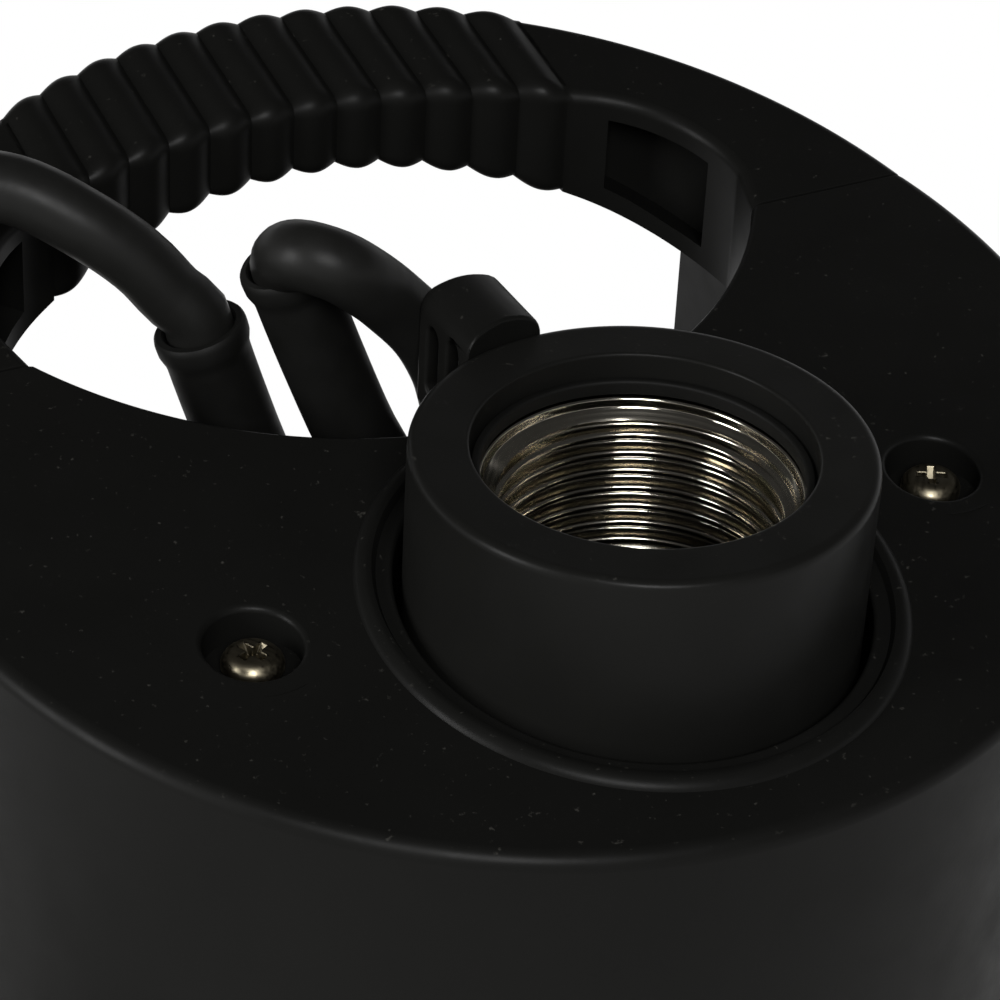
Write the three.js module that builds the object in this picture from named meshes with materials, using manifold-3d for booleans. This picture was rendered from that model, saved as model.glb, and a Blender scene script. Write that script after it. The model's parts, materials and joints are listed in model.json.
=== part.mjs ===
// Submersible sump pump: sloping top cover with a threaded outlet, ribbed carrying handle,
// jacket-cooled motor, strainer base, float switch and wound mains cord.
// Millimetres, +Z up. Origin: centre of the pump's round plan, on the ground.

import * as THREE from 'three';
import { mergeVertices } from 'three/addons/utils/BufferGeometryUtils.js';
import Module from 'manifold-3d';

const wasm = await Module();
wasm.setup();

// ---------- driving dimensions ----------

const GAP = 0.3;                    // clearance between pieces that touch
const FACET_PLAY = 0.5;             // more, where a disc sits in a bore with other flats
const BODY_RADIUS = 72;
const WALL = 3;
const DECK_LEVEL = 245;             // top of the casing's deck
const PLATE_RISE = 55;
const PLATE_LEVEL = DECK_LEVEL + PLATE_RISE;    // cover's top surface at the outlet's centre
const DECK_THICKNESS = 4;
const PLATE_THICKNESS = 3.5;
const COVER_SLOPE = 0.136;
const HANDLE_SLOPE = 0.206;
const SEAM_Y = 21.5;                // joint between cover and handle piece

const OUTLET_Y = -34.5;
const COLLAR_RADIUS = 25;
const COLLAR_RISE = 18.2;           // collar's rim over the plate
const COLLAR_BORE_RADIUS = 18.44;
const COLLAR_CHAMFER = 1;
const SPIGOT_RADIUS = 21.5;
const SPIGOT_LENGTH = 9;
const FLOW_RADIUS = 15.4;
const RISER_RING_RADIUS = 0.95;
const RISER_GROOVE_DEPTH = 1.9;
const PLATE_HOLE_RADIUS = 26;
const BEAD_INNER = 28;
const BEAD_OUTER = 30;
const BEAD_HEIGHT = 1;

const INSERT_DEPTH = 4.8;           // insert's top face under the collar's rim
const INSERT_LENGTH = 20;
const THREAD_MINOR_RADIUS = 15.15;
const THREAD_MAJOR_RADIUS = 16.62;
const THREAD_PITCH = 2.309;
const THREAD_TURNS = 7;
const SEAL_BAND_HEIGHT = 1.7;
const SEAL_BAND_WIDTH = 0.9;

const GRIP_WIDTH = 18.1;            // at its middle
const COLUMN_WIDTH = 23.5;          // each side of the hand opening, beside the grip's corners
const OPENING_FRONT_Y = -4.7;       // front edge of the hand opening, between outlet and cords
const OPENING_RADIUS = BODY_RADIUS - 17;
const OPENING_CENTRE_Y = OPENING_FRONT_Y + OPENING_RADIUS;
const GRIP_CORNER_RADIUS = 20;
const GRIP_CORNER_X = BODY_RADIUS - COLUMN_WIDTH - GRIP_CORNER_RADIUS;
const GRIP_REAR_RADIUS = 90;
const GRIP_REAR_CENTRE_Y = BODY_RADIUS - GRIP_WIDTH - GRIP_REAR_RADIUS;
const GRIP_CORNER_RISE = Math.sqrt((GRIP_REAR_RADIUS - GRIP_CORNER_RADIUS) ** 2 - GRIP_CORNER_X ** 2);
const GRIP_CORNER_Y = GRIP_REAR_CENTRE_Y + GRIP_CORNER_RISE;    // the corner's arc runs into the rear one
const GRIP_CORNER_SWEEP = Math.atan2(GRIP_CORNER_RISE, GRIP_CORNER_X);
const COLUMN_INNER_X = BODY_RADIUS - COLUMN_WIDTH;
const COLUMN_REAR_Y = 40;
const HANDLE_SCREW_X = BODY_RADIUS - 16;
const HANDLE_SCREW_Y = 31;
const GUIDE_X = 7.5;                // lugs that keep the float's cord in place
const GUIDE_Y = BODY_RADIUS - 8;
const GUIDE_RADIUS = 2.2;
const GUIDE_HEIGHT = 5;
const ARCH_TOP = 5.5;               // underside of the grip at its middle, over PLATE_LEVEL
const ARCH_RADIUS = 92;
const RIB_COUNT = 12;
const RIB_PITCH = 5.75;
const RIB_HEIGHT = 1;
const POCKET_DEPTH = 5;
const POCKET_ROOF = 3.5;
const POCKET_FLOOR = -3;            // over PLATE_LEVEL
const POCKET_INNER_X = GRIP_CORNER_X + 9.5;

const COVER_SCREW_X = 42;
const COVER_SCREW_Y = -28.3;
const COUNTERBORE_RADIUS = 5.35;
const COUNTERBORE_DEPTH = 3.5;
const SCREW_CUP_RADIUS = 8;
const SCREW_CUP_DEPTH = 7;
const SCREW_BOSS_RADIUS = 6;
const SCREW_HEAD_RADIUS = 3.4;
const SCREW_HEAD_HEIGHT = 2.2;
const SCREW_SHANK_RADIUS = 2;
const SCREW_LENGTH = 22;
const BASE_SCREW_LENGTH = 15;
const SCREW_HOLE_RADIUS = 2.4;
const SCREW_RECESS_WIDTH = 0.9;
const SCREW_RECESS_LENGTH = 4;
const SCREW_RECESS_DEPTH = 1.3;

const CLIP_LEFT = -9;
const CLIP_RIGHT = 1;
const CLIP_REAR = 1;
const CLIP_BOTTOM = 5.6;            // over PLATE_LEVEL
const CLIP_TOP = 20.6;
const CLIP_CROWN = 1;
const CLIP_SLOT_WIDTH = 2.6;
const CLIP_SLOT_HEIGHT = 9;
const CLIP_SLOT_PITCH = 4.8;
const CLIP_SLOT_INSET = 2.1;        // from the clip's rear face to its rear slot
const CLIP_STRAP_HEIGHT = 5.4;
const CLIP_TONGUE_REACH = 10.6;
const CLIP_TONGUE_THICKNESS = 1.8;

const MAIN_CORD_RADIUS = 4;
const FLOAT_CORD_RADIUS = 4;
const MAIN_BOOT_RADIUS = 5;
const FLOAT_BOOT_RADIUS = 4.85;
const BOOT_LIP = 0.5;
const BOOT_LIP_LENGTH = 2.2;
const BOOT_FLANGE_RADIUS = 7.8;
const BOOT_FLANGE_HEIGHT = 3;
const BOOT_STEM_RADIUS = 4.8;
const CORD_LEAD_IN = 1.6;           // straight cord out of a boot

const COIL_CENTRE = [-168.7, 18];
const COIL_MID_RADIUS = 63.7;
const COIL_LAYERS = 6;
const COIL_TURNS_PER_LAYER = 4;
const COIL_SPACING = 9.1;           // from turn to turn and layer to layer
const COIL_STEPS_PER_TURN = 15;
const COIL_END_TURN = 23.75;
const TIE_WIDTH = 14;
const TIE_THICKNESS = 1.4;

const SUCTION_TOP = 60;
const PLATE_BOTTOM = 4;
const PLATE_TOP = 8;
const SLOT_COUNT = 12;
const SLOT_WIDTH = 14;
const SLOT_BOTTOM = 13;
const SLOT_HEIGHT = 18;
const LEDGE_TOP = 34;
const LEDGE_HEIGHT = 3;
const LEDGE_WIDTH = 6;
const FOOT_RADIUS = 9;
const FOOT_BOSS_RADIUS = 5;
const FOOT_WEB_THICKNESS = 3;
const FOOT_INSET = 15;
const FOOT_CIRCLE = BODY_RADIUS - FOOT_INSET;
const FOOT_ANGLES = [45, 135, 225, 315];

const EYE_RADIUS = 17;
const WEAR_PLATE_THICKNESS = 2.7;
const IMPELLER_INSET = 25;
const IMPELLER_RADIUS = BODY_RADIUS - IMPELLER_INSET;
const IMPELLER_LEVEL = LEDGE_TOP + WEAR_PLATE_THICKNESS + 3 * GAP;  // open edges of its vanes
const IMPELLER_VANES = 6;
const IMPELLER_VANE_HEIGHT = 8.4;
const IMPELLER_VANE_THICKNESS = 2.4;
const IMPELLER_SHROUD_THICKNESS = 2.5;
const IMPELLER_HUB_RADIUS = 12;
const IMPELLER_HUB_LENGTH = 16;
const NUT_WIDTH = 12;
const NUT_HEIGHT = 3.8;
const DIFFUSER_INNER = IMPELLER_RADIUS + 4;
const DIFFUSER_FLOOR_THICKNESS = 2.4;
const DIFFUSER_VANES = 6;
const DIFFUSER_VANE_THICKNESS = 2.2;

const SHAFT_RADIUS = 6;
const SHAFT_STUD_RADIUS = 4;        // its threaded end, under the impeller
const BEARING_RADIUS = 16;
const BEARING_HEIGHT = 9.5;
const SEAL_RING_RADIUS = 13;
const SEAL_RING_HEIGHT = 3.4;
const SEAL_SEAT_RADIUS = 14;
const SEAL_SEAT_HEIGHT = 7;
const CARRIER_LEVEL = SUCTION_TOP + 2;      // underside of the seal carrier's flange
const CARRIER_THICKNESS = 8;
const CARRIER_HUB_RADIUS = BEARING_RADIUS + 4;
const CARRIER_HUB_DROP = 2;
const BEARING_LEVEL = CARRIER_LEVEL + CARRIER_THICKNESS + 2;
const CAN_RADIUS = 58;
const CAN_WALL = 2;
const CAN_BOTTOM = CARRIER_LEVEL + CARRIER_THICKNESS + GAP;
const CAN_TOP = DECK_LEVEL - 19;
const CAP_THICKNESS = 5;
const JACKET_WIDTH = BODY_RADIUS - WALL - CAN_RADIUS;
const JACKET_PASSAGE_RADIUS = 0.3 * JACKET_WIDTH;   // holes that let the water up round the motor
const JACKET_PASSAGE_CIRCLE = CAN_RADIUS + 0.42 * JACKET_WIDTH;     // inside the flange's flats
const JACKET_PASSAGES = 6;
const STATOR_BOTTOM = CAN_BOTTOM + 29.7;
const STATOR_TOP = CAN_TOP - 66;
const STATOR_BORE = CAN_RADIUS / 2;
const WINDING_HEIGHT = 15;
const WINDING_CHAMFER = 4;
const WINDING_INNER_INSET = 5;
const WINDING_OUTER_INSET = 8;
const AIR_GAP = 0.6;
const ROTOR_RADIUS = STATOR_BORE - AIR_GAP;
const BRACKET_LEVEL = STATOR_TOP + WINDING_HEIGHT + 11;
const BRACKET_THICKNESS = 4;
const BRACKET_HUB_DROP = 7;
const CAPACITOR_RADIUS = 12;
const CAPACITOR_LENGTH = 52;
const CAPACITOR_Y = CAN_RADIUS - 27;
const TERMINAL_LENGTH = 40;
const TERMINAL_WIDTH = 16;
const TERMINAL_HEIGHT = 14;
const TERMINAL_Y = 28 - CAN_RADIUS;

const FLOAT_WIDTH = 62;
const FLOAT_THICKNESS = 40;
const FLOAT_LENGTH = 96;
const FLOAT_WALL = 2.5;
const FLOAT_NECK_RADIUS = 7;
const FLOAT_NECK_LENGTH = 10;
const FLOAT_DROP = 45;              // straight cord between the hinge's bend and the float
const FLOAT_LEAN = THREE.MathUtils.degToRad(11);
const FLOAT_BALL_RADIUS = 7;
const FLOAT_HINGE = [0, BODY_RADIUS + 5, DECK_LEVEL + 0.6];
const FLOAT_BEND_END = [0, BODY_RADIUS + 9, DECK_LEVEL - 6.5];

const PLUG_BACK_Y = 36;             // back of the plug, from the coil's centre
const PLUG_RADIUS = 19;
const PLUG_LENGTH = 46;
const PLUG_NECK_RADIUS = 6.5;
const PLUG_NECK_LENGTH = 22;
const PIN_RADIUS = 2.4;
const PIN_LENGTH = 19;
const PIN_SPACING = 19;

// ---------- materials ----------

const finish = (color, roughness, metalness) => () =>
  new THREE.MeshStandardMaterial({ color, roughness, metalness });

const blackPlastic = finish(0x151513, 0.42, 0);
const sleeveRubber = finish(0x1b1b19, 0.7, 0);
const cordRubber = finish(0x1c1c1a, 0.6, 0);
const nickel = finish(0xc9c5bb, 0.22, 1);
const platedSteel = finish(0xb5a477, 0.35, 1);
const stainless = finish(0xa9abad, 0.3, 1);
const castAluminium = finish(0x8e9092, 0.5, 1);
const copper = finish(0x9c5a2c, 0.45, 1);
const laminations = finish(0x5e6064, 0.6, 1);
const ceramic = finish(0xd9d4c7, 0.35, 0);
const whitePlastic = finish(0xd8d8d2, 0.5, 0);
const orangePlastic = finish(0xd4571b, 0.45, 0);
const brass = finish(0xb08d45, 0.3, 1);

// ---------- solids ----------

const model = new THREE.Group();
model.name = 'submersible_sump_pump';

function solid(geometry) {
  const bare = geometry.index ? geometry.toNonIndexed() : geometry.clone();
  bare.deleteAttribute('normal');
  bare.deleteAttribute('uv');
  const welded = mergeVertices(bare, 1e-4);
  return new wasm.Manifold(new wasm.Mesh({
    numProp: 3,
    vertProperties: new Float32Array(welded.attributes.position.array),
    triVerts: new Uint32Array(welded.index.array),
  }));
}

function geometryOf(body) {
  const mesh = body.getMesh();
  const geometry = new THREE.BufferGeometry();
  geometry.setAttribute('position', new THREE.BufferAttribute(mesh.vertProperties, 3));
  geometry.setIndex(new THREE.BufferAttribute(mesh.triVerts, 1));
  geometry.computeVertexNormals();
  return geometry;
}

function add(name, body, material) {
  const mesh = new THREE.Mesh(geometryOf(body), material());
  mesh.name = name;
  model.add(mesh);
  return mesh;
}

const union = (...bodies) => bodies.reduce((whole, body) => whole.add(body));

// A body of revolution about a vertical axis; the profile is a closed list of [radius, height].
function turned(profile, segments = 24) {
  const points = profile.map(([r, z]) => new THREE.Vector2(r, z));
  if (profile[0][0] > 0) points.push(points[0].clone());
  const geometry = new THREE.LatheGeometry(points, segments).rotateX(Math.PI / 2);
  const body = solid(geometry);
  if (body.volume() > 0) return body;
  points.reverse();
  return solid(new THREE.LatheGeometry(points, segments).rotateX(Math.PI / 2));
}

function disc(radius, z0, z1, segments = 24, x = 0, y = 0) {
  return turned([[0, z0], [radius, z0], [radius, z1], [0, z1]], segments).translate([x, y, 0]);
}

function ring(inner, outer, z0, z1, segments = 24, x = 0, y = 0) {
  const profile = [[inner, z0], [outer, z0], [outer, z1], [inner, z1]];
  return turned(profile, segments).translate([x, y, 0]);
}

function block(x0, x1, y0, y1, z0, z1) {
  const geometry = new THREE.BoxGeometry(x1 - x0, y1 - y0, z1 - z0);
  return solid(geometry.translate((x0 + x1) / 2, (y0 + y1) / 2, (z0 + z1) / 2));
}

// A plan outline pulled up between two surfaces, each a height over the plan.
function prism(points, bottom, top) {
  const shape = new THREE.Shape(points.map(([x, y]) => new THREE.Vector2(x, y)));
  const geometry = new THREE.ExtrudeGeometry(shape, { depth: 1, bevelEnabled: false });
  const position = geometry.attributes.position;
  for (let i = 0; i < position.count; i += 1) {
    const x = position.getX(i);
    const y = position.getY(i);
    const surface = position.getZ(i) < 0.5 ? bottom : top;
    position.setZ(i, typeof surface === 'number' ? surface : surface(x, y));
  }
  return solid(geometry);
}

// A side outline (x, z) pulled along y.
function sidePrism(points, y0, y1) {
  const body = prism(points, 0, y1 - y0);
  return body.rotate([90, 0, 0]).translate([0, y1, 0]);
}

function arc(cx, cy, radius, from, to, steps) {
  const points = [];
  for (let i = 0; i <= steps; i += 1) {
    const angle = from + ((to - from) * i) / steps;
    points.push([cx + radius * Math.cos(angle), cy + radius * Math.sin(angle)]);
  }
  return points;
}

const mirrored = (points) => points.map(([x, y]) => [-x, y]).reverse();

// A tube along a curve, with its section square to the curve.
function tube(curve, radius, sides, steps) {
  const section = new THREE.Shape(
    arc(0, 0, radius, 0, 2 * Math.PI * (1 - 1 / sides), sides - 1)
      .map(([x, y]) => new THREE.Vector2(x, y)),
  );
  return solid(new THREE.ExtrudeGeometry(section, { steps, extrudePath: curve }));
}

const spline = (points) => new THREE.CatmullRomCurve3(
  points.map((point) => new THREE.Vector3(...point)),
  false,
  'centripetal',
);

// Copies of a body turned about the pump's axis.
function around(count, make) {
  const copies = [];
  for (let i = 0; i < count; i += 1) copies.push(make((360 * i) / count, i));
  return union(...copies);
}

// ---------- surfaces of the top ----------

const coverTop = (x, y) => PLATE_LEVEL + COVER_SLOPE * (y - OUTLET_Y);
const seamLevel = coverTop(0, SEAM_Y);
const handleTop = (x, y) => seamLevel + HANDLE_SLOPE * (y - SEAM_Y);
const archLevel = (x) => PLATE_LEVEL + ARCH_TOP - (ARCH_RADIUS - Math.sqrt(ARCH_RADIUS ** 2 - x * x));
const footing = DECK_LEVEL + GAP;

// ---------- top cover ----------

// Plan of the cover, drawn in by `inset` all round.
function coverPlan(inset) {
  const outer = BODY_RADIUS - inset;
  const inner = OPENING_RADIUS + inset;
  const seam = SEAM_Y - GAP / 2 - inset;
  const start = Math.asin(seam / outer);
  const mouth = Math.asin((seam - OPENING_CENTRE_Y) / inner);
  return [
    ...arc(0, 0, outer, Math.PI - start, 2 * Math.PI + start, 40),
    ...arc(0, OPENING_CENTRE_Y, inner, mouth, -Math.PI - mouth, 14),
  ];
}

function screwCup(x) {
  const top = coverTop(x, COVER_SCREW_Y);
  return disc(SCREW_CUP_RADIUS, top - SCREW_CUP_DEPTH, top - 1, 16, x, COVER_SCREW_Y);
}

function screwPocket(x) {
  const top = coverTop(x, COVER_SCREW_Y);
  const bore = disc(COUNTERBORE_RADIUS, top - COUNTERBORE_DEPTH, top + 5, 16, x, COVER_SCREW_Y);
  const hole = disc(SCREW_HOLE_RADIUS, top - 12, top + 5, 12, x, COVER_SCREW_Y);
  return union(bore, hole);
}

function topCover() {
  const ceiling = (x, y) => coverTop(x, y) - PLATE_THICKNESS;
  const shell = prism(coverPlan(0), footing, coverTop)
    .subtract(prism(coverPlan(WALL), footing - 1, ceiling));
  const bead = prism(arc(0, OUTLET_Y, BEAD_OUTER, 0, 2 * Math.PI * (23 / 24), 23),
    (x, y) => coverTop(x, y) - 1, (x, y) => coverTop(x, y) + BEAD_HEIGHT);
  const plate = union(shell, bead.subtract(disc(BEAD_INNER, DECK_LEVEL, PLATE_LEVEL + 50, 24, 0, OUTLET_Y)));
  const xs = [-COVER_SCREW_X, COVER_SCREW_X];
  return union(plate, ...xs.map(screwCup))
    .subtract(union(...xs.map(screwPocket)))
    .subtract(disc(PLATE_HOLE_RADIUS, DECK_LEVEL, PLATE_LEVEL + 50, 32, 0, OUTLET_Y));
}

// ---------- handle ----------

function gripInnerEdge() {
  const corner = arc(GRIP_CORNER_X, GRIP_CORNER_Y, GRIP_CORNER_RADIUS, 0, GRIP_CORNER_SWEEP, 6);
  const end = corner[corner.length - 1];
  const angle = Math.atan2(end[1] - GRIP_REAR_CENTRE_Y, end[0]);
  const rear = arc(0, GRIP_REAR_CENTRE_Y, GRIP_REAR_RADIUS, angle, Math.PI / 2, 4).slice(1);
  const mouth = [mouthX, SEAM_Y + GAP / 2];
  return [mouth, ...corner, ...rear];
}

const mouthX = Math.sqrt(OPENING_RADIUS ** 2 - (OPENING_CENTRE_Y - SEAM_Y) ** 2);

function handlePlan() {
  const start = Math.asin((SEAM_Y + GAP / 2) / BODY_RADIUS);
  const inner = gripInnerEdge();
  return [
    ...arc(0, 0, BODY_RADIUS, start, Math.PI - start, 24),
    ...mirrored(inner).reverse(),
    ...inner.slice(0, -1).reverse(),
  ];
}

function archSide(halfWidth) {
  const points = [];
  for (let i = 0; i <= 12; i += 1) {
    const x = halfWidth * (1 - i / 6);
    points.push([x, archLevel(x)]);
  }
  return [[halfWidth, DECK_LEVEL - 5], ...points, [-halfWidth, DECK_LEVEL - 5]];
}

const gripInnerY = (x) => GRIP_REAR_CENTRE_Y + Math.sqrt(GRIP_REAR_RADIUS ** 2 - x * x);
const gripOuterY = (x) => Math.sqrt(BODY_RADIUS ** 2 - x * x);

// The ribbed middle of the grip: one body whose section swells over each rib.
function gripRibs() {
  const length = RIB_COUNT * RIB_PITCH;
  const section = new THREE.Shape([
    [-1, -0.7], [-0.8, -1], [0.8, -1], [1, -0.7], [1, 0.6], [0.75, 1], [-0.75, 1], [-1, 0.6],
  ].map(([u, v]) => new THREE.Vector2(u, v)));
  const geometry = new THREE.ExtrudeGeometry(section, {
    depth: length, steps: RIB_COUNT * 4, bevelEnabled: false,
  });
  const position = geometry.attributes.position;
  for (let i = 0; i < position.count; i += 1) {
    const x = position.getZ(i) - length / 2;
    const u = position.getX(i);
    const v = position.getY(i);
    const swell = RIB_HEIGHT * Math.abs(Math.sin((Math.PI * position.getZ(i)) / RIB_PITCH));
    const y0 = gripInnerY(x);
    const y1 = gripOuterY(x);
    const y = (y0 + y1) / 2 + u * ((y1 - y0) / 2 + swell);
    const level = Math.min(Math.max(y, y0), y1);
    const z = v < 0 ? archLevel(x) - swell + (1 + v) * 3 : handleTop(x, level) + swell - (1 - v) * 2.5;
    position.setXYZ(i, x, y, z);
  }
  const ribs = solid(geometry);
  return ribs.volume() > 0 ? ribs : solid(flipped(geometry));
}

// The same surface with its faces turned round.
function flipped(geometry) {
  const turnedRound = geometry.clone();
  const position = turnedRound.attributes.position;
  const a = new THREE.Vector3();
  const b = new THREE.Vector3();
  for (let i = 0; i < position.count; i += 3) {
    a.fromBufferAttribute(position, i);
    b.fromBufferAttribute(position, i + 1);
    position.setXYZ(i, b.x, b.y, b.z);
    position.setXYZ(i + 1, a.x, a.y, a.z);
  }
  return turnedRound;
}

function cornerPocket(side) {
  const outer = arc(GRIP_CORNER_X, GRIP_CORNER_Y, GRIP_CORNER_RADIUS + POCKET_DEPTH, 0, 1.05, 6);
  const inner = arc(GRIP_CORNER_X, GRIP_CORNER_Y, GRIP_CORNER_RADIUS - 4, 1.05, 0, 4);
  const plan = [...outer, ...inner].map(([x, y]) => [Math.max(x, POCKET_INNER_X), y]);
  const points = side > 0 ? plan : mirrored(plan);
  return prism(points, PLATE_LEVEL + POCKET_FLOOR, (x, y) => handleTop(x, y) - POCKET_ROOF);
}

function handle() {
  const body = prism(handlePlan(), footing, handleTop);
  const handGap = sidePrism(archSide(COLUMN_INNER_X), 0, BODY_RADIUS + 5);
  const rearGap = sidePrism(archSide(BODY_RADIUS - 8), COLUMN_REAR_Y, BODY_RADIUS + 5);
  const screwHoles = [-1, 1].map((side) => (
    disc(SCREW_HOLE_RADIUS, DECK_LEVEL - 5, DECK_LEVEL + 22, 16, side * HANDLE_SCREW_X, HANDLE_SCREW_Y)
  ));
  const half = (RIB_COUNT * RIB_PITCH) / 2 - 0.05;
  const middle = block(-half, half, GRIP_CORNER_Y, BODY_RADIUS + 5, DECK_LEVEL, PLATE_LEVEL + 40);
  return union(body.subtract(union(handGap, rearGap, middle)), gripRibs())
    .subtract(union(cornerPocket(1), cornerPocket(-1), ...screwHoles));
}

// ---------- outlet ----------

const collarTop = PLATE_LEVEL + COLLAR_RISE;
const insertTop = collarTop - INSERT_DEPTH;
const insertBottom = insertTop - INSERT_LENGTH;
const insertRadius = COLLAR_BORE_RADIUS - GAP;

function outletCollar() {
  const chamferLevel = collarTop - COLLAR_CHAMFER;
  const shoulder = insertBottom - GAP;
  const foot = DECK_LEVEL - SPIGOT_LENGTH;
  const groove = DECK_LEVEL - DECK_THICKNESS / 2;
  const grooveHalf = RISER_RING_RADIUS + GAP;
  const grooveFloor = SPIGOT_RADIUS - RISER_GROOVE_DEPTH;
  return turned([
    [COLLAR_BORE_RADIUS, collarTop], [COLLAR_BORE_RADIUS, shoulder], [FLOW_RADIUS, shoulder],
    [FLOW_RADIUS, foot], [SPIGOT_RADIUS, foot], [SPIGOT_RADIUS, groove - grooveHalf],
    [grooveFloor, groove - grooveHalf],
    [grooveFloor, groove + grooveHalf], [SPIGOT_RADIUS, groove + grooveHalf],
    [SPIGOT_RADIUS, footing], [COLLAR_RADIUS, footing], [COLLAR_RADIUS, chamferLevel],
    [COLLAR_RADIUS - COLLAR_CHAMFER, collarTop],
  ], 28).translate([0, OUTLET_Y, 0]);
}

function threadedInsert() {
  const thread = [];
  for (let i = 0; i < THREAD_TURNS; i += 1) {
    const z = insertTop - 1.9 - i * THREAD_PITCH;
    thread.push([THREAD_MINOR_RADIUS, z]);
    thread.push([THREAD_MAJOR_RADIUS, z - THREAD_PITCH / 2]);
  }
  return turned([
    [insertRadius, insertBottom], [insertRadius, insertTop], [THREAD_MAJOR_RADIUS + 0.4, insertTop],
    ...thread, [THREAD_MINOR_RADIUS, insertBottom],
  ], 20).translate([0, OUTLET_Y, 0]);
}

function sealBand() {
  const bottom = insertTop + GAP;
  const inner = insertRadius - SEAL_BAND_WIDTH;
  return ring(inner, insertRadius, bottom, bottom + SEAL_BAND_HEIGHT, 24, 0, OUTLET_Y);
}

function riserRing() {
  const centre = SPIGOT_RADIUS - RISER_GROOVE_DEPTH + GAP + RISER_RING_RADIUS;
  const profile = arc(centre, DECK_LEVEL - DECK_THICKNESS / 2, RISER_RING_RADIUS,
    0, 2 * Math.PI * (5 / 6), 5);
  return turned(profile, 18).translate([0, OUTLET_Y, 0]);
}

// Bracket behind the collar: slotted block with a crowned top and a tongue that wraps the cord.
function cordClip() {
  const z0 = PLATE_LEVEL + CLIP_BOTTOM;
  const z1 = PLATE_LEVEL + CLIP_TOP;
  const middle = (CLIP_LEFT + CLIP_RIGHT) / 2;
  const side = [[CLIP_LEFT, z0], [CLIP_RIGHT, z0], [CLIP_RIGHT, z1 - CLIP_CROWN],
    [middle + 2.5, z1], [middle - 2.5, z1], [CLIP_LEFT, z1 - CLIP_CROWN]];
  const bracket = sidePrism(side, OUTLET_Y + COLLAR_RADIUS - 4, CLIP_REAR);
  const slots = union(...[0, 1].map((place) => {
    const rear = CLIP_REAR - CLIP_SLOT_INSET - place * CLIP_SLOT_PITCH;
    const floor = z0 + 2 + place;
    return block(CLIP_LEFT - 1, CLIP_LEFT + 4, rear - CLIP_SLOT_WIDTH, rear, floor, floor + CLIP_SLOT_HEIGHT);
  }));
  const outside = CLIP_RIGHT + CLIP_TONGUE_THICKNESS + 1;
  const reach = CLIP_TONGUE_REACH + CLIP_TONGUE_THICKNESS;
  const low = z0 + 1;
  const high = low + CLIP_STRAP_HEIGHT;
  const neck = block(CLIP_RIGHT - 1, outside, CLIP_REAR - 4, CLIP_REAR, low, high);
  const arm = block(outside - CLIP_TONGUE_THICKNESS, outside, CLIP_REAR - 1, reach, low, high);
  const tongue = block(CLIP_LEFT + 6, outside, CLIP_TONGUE_REACH, reach, low, high);
  const clearance = disc(COLLAR_RADIUS + GAP, DECK_LEVEL, PLATE_LEVEL + 50, 32, 0, OUTLET_Y);
  return union(bracket, neck, arm, tongue).subtract(slots).subtract(clearance);
}

// Screw hanging from its head's underside at the origin.
function plainScrew(length) {
  const head = turned([
    [0, 0], [SCREW_HEAD_RADIUS, 0], [SCREW_HEAD_RADIUS, SCREW_HEAD_HEIGHT * 0.55],
    [SCREW_HEAD_RADIUS * 0.7, SCREW_HEAD_HEIGHT], [0, SCREW_HEAD_HEIGHT],
  ], 12);
  return union(head, disc(SCREW_SHANK_RADIUS, -length, 0.5, 8));
}

// The same with a cross recess in its head.
function crossScrew(length) {
  const half = SCREW_RECESS_LENGTH / 2;
  const width = SCREW_RECESS_WIDTH / 2;
  const floor = SCREW_HEAD_HEIGHT - SCREW_RECESS_DEPTH;
  const recess = union(
    block(-half, half, -width, width, floor, SCREW_HEAD_HEIGHT + 1),
    block(-width, width, -half, half, floor, SCREW_HEAD_HEIGHT + 1),
  );
  return plainScrew(length).subtract(recess);
}

const upward = (screw) => screw.rotate([180, 0, 0]);

// ---------- casing ----------

const jacketBottom = SUCTION_TOP + GAP;
const mainBootBase = [-16.5, 15];
const floatBootBase = [-2, 5];
function casing() {
  const inner = BODY_RADIUS - WALL;
  const ceiling = DECK_LEVEL - DECK_THICKNESS;
  const shell = turned([
    [0, DECK_LEVEL], [BODY_RADIUS, DECK_LEVEL], [BODY_RADIUS, jacketBottom],
    [inner, jacketBottom], [inner, ceiling], [0, ceiling],
  ], 40);
  const bossTop = coverTop(0, COVER_SCREW_Y) - SCREW_CUP_DEPTH - GAP;
  const sides = [-1, 1];
  const bosses = sides.map((side) => (
    disc(SCREW_BOSS_RADIUS, DECK_LEVEL - 1, bossTop, 12, side * COVER_SCREW_X, COVER_SCREW_Y)
  ));
  const guides = sides.map((side) => (
    disc(GUIDE_RADIUS, DECK_LEVEL - 1, DECK_LEVEL + GUIDE_HEIGHT, 8, side * GUIDE_X, GUIDE_Y)
  ));
  const bossHoles = sides.map((side) => (
    disc(SCREW_HOLE_RADIUS, bossTop - 22, bossTop + 2, 12, side * COVER_SCREW_X, COVER_SCREW_Y)
  ));
  const handleHoles = sides.map((side) => (
    disc(SCREW_HOLE_RADIUS, ceiling - 2, DECK_LEVEL + 2, 12, side * HANDLE_SCREW_X, HANDLE_SCREW_Y)
  ));
  const stems = [mainBootBase, floatBootBase].map(([x, y]) => (
    disc(BOOT_STEM_RADIUS + GAP, ceiling - 2, DECK_LEVEL + 2, 12, x, y)
  ));
  const outlet = disc(SPIGOT_RADIUS + 2 * GAP, ceiling - 2, DECK_LEVEL + 2, 24, 0, OUTLET_Y);
  return union(shell, ...bosses, ...guides)
    .subtract(union(...bossHoles, ...handleHoles, ...stems, outlet));
}

// ---------- strainer base ----------

const polar = (radius, degrees) => {
  const angle = THREE.MathUtils.degToRad(degrees);
  return [radius * Math.cos(angle), radius * Math.sin(angle)];
};

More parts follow.
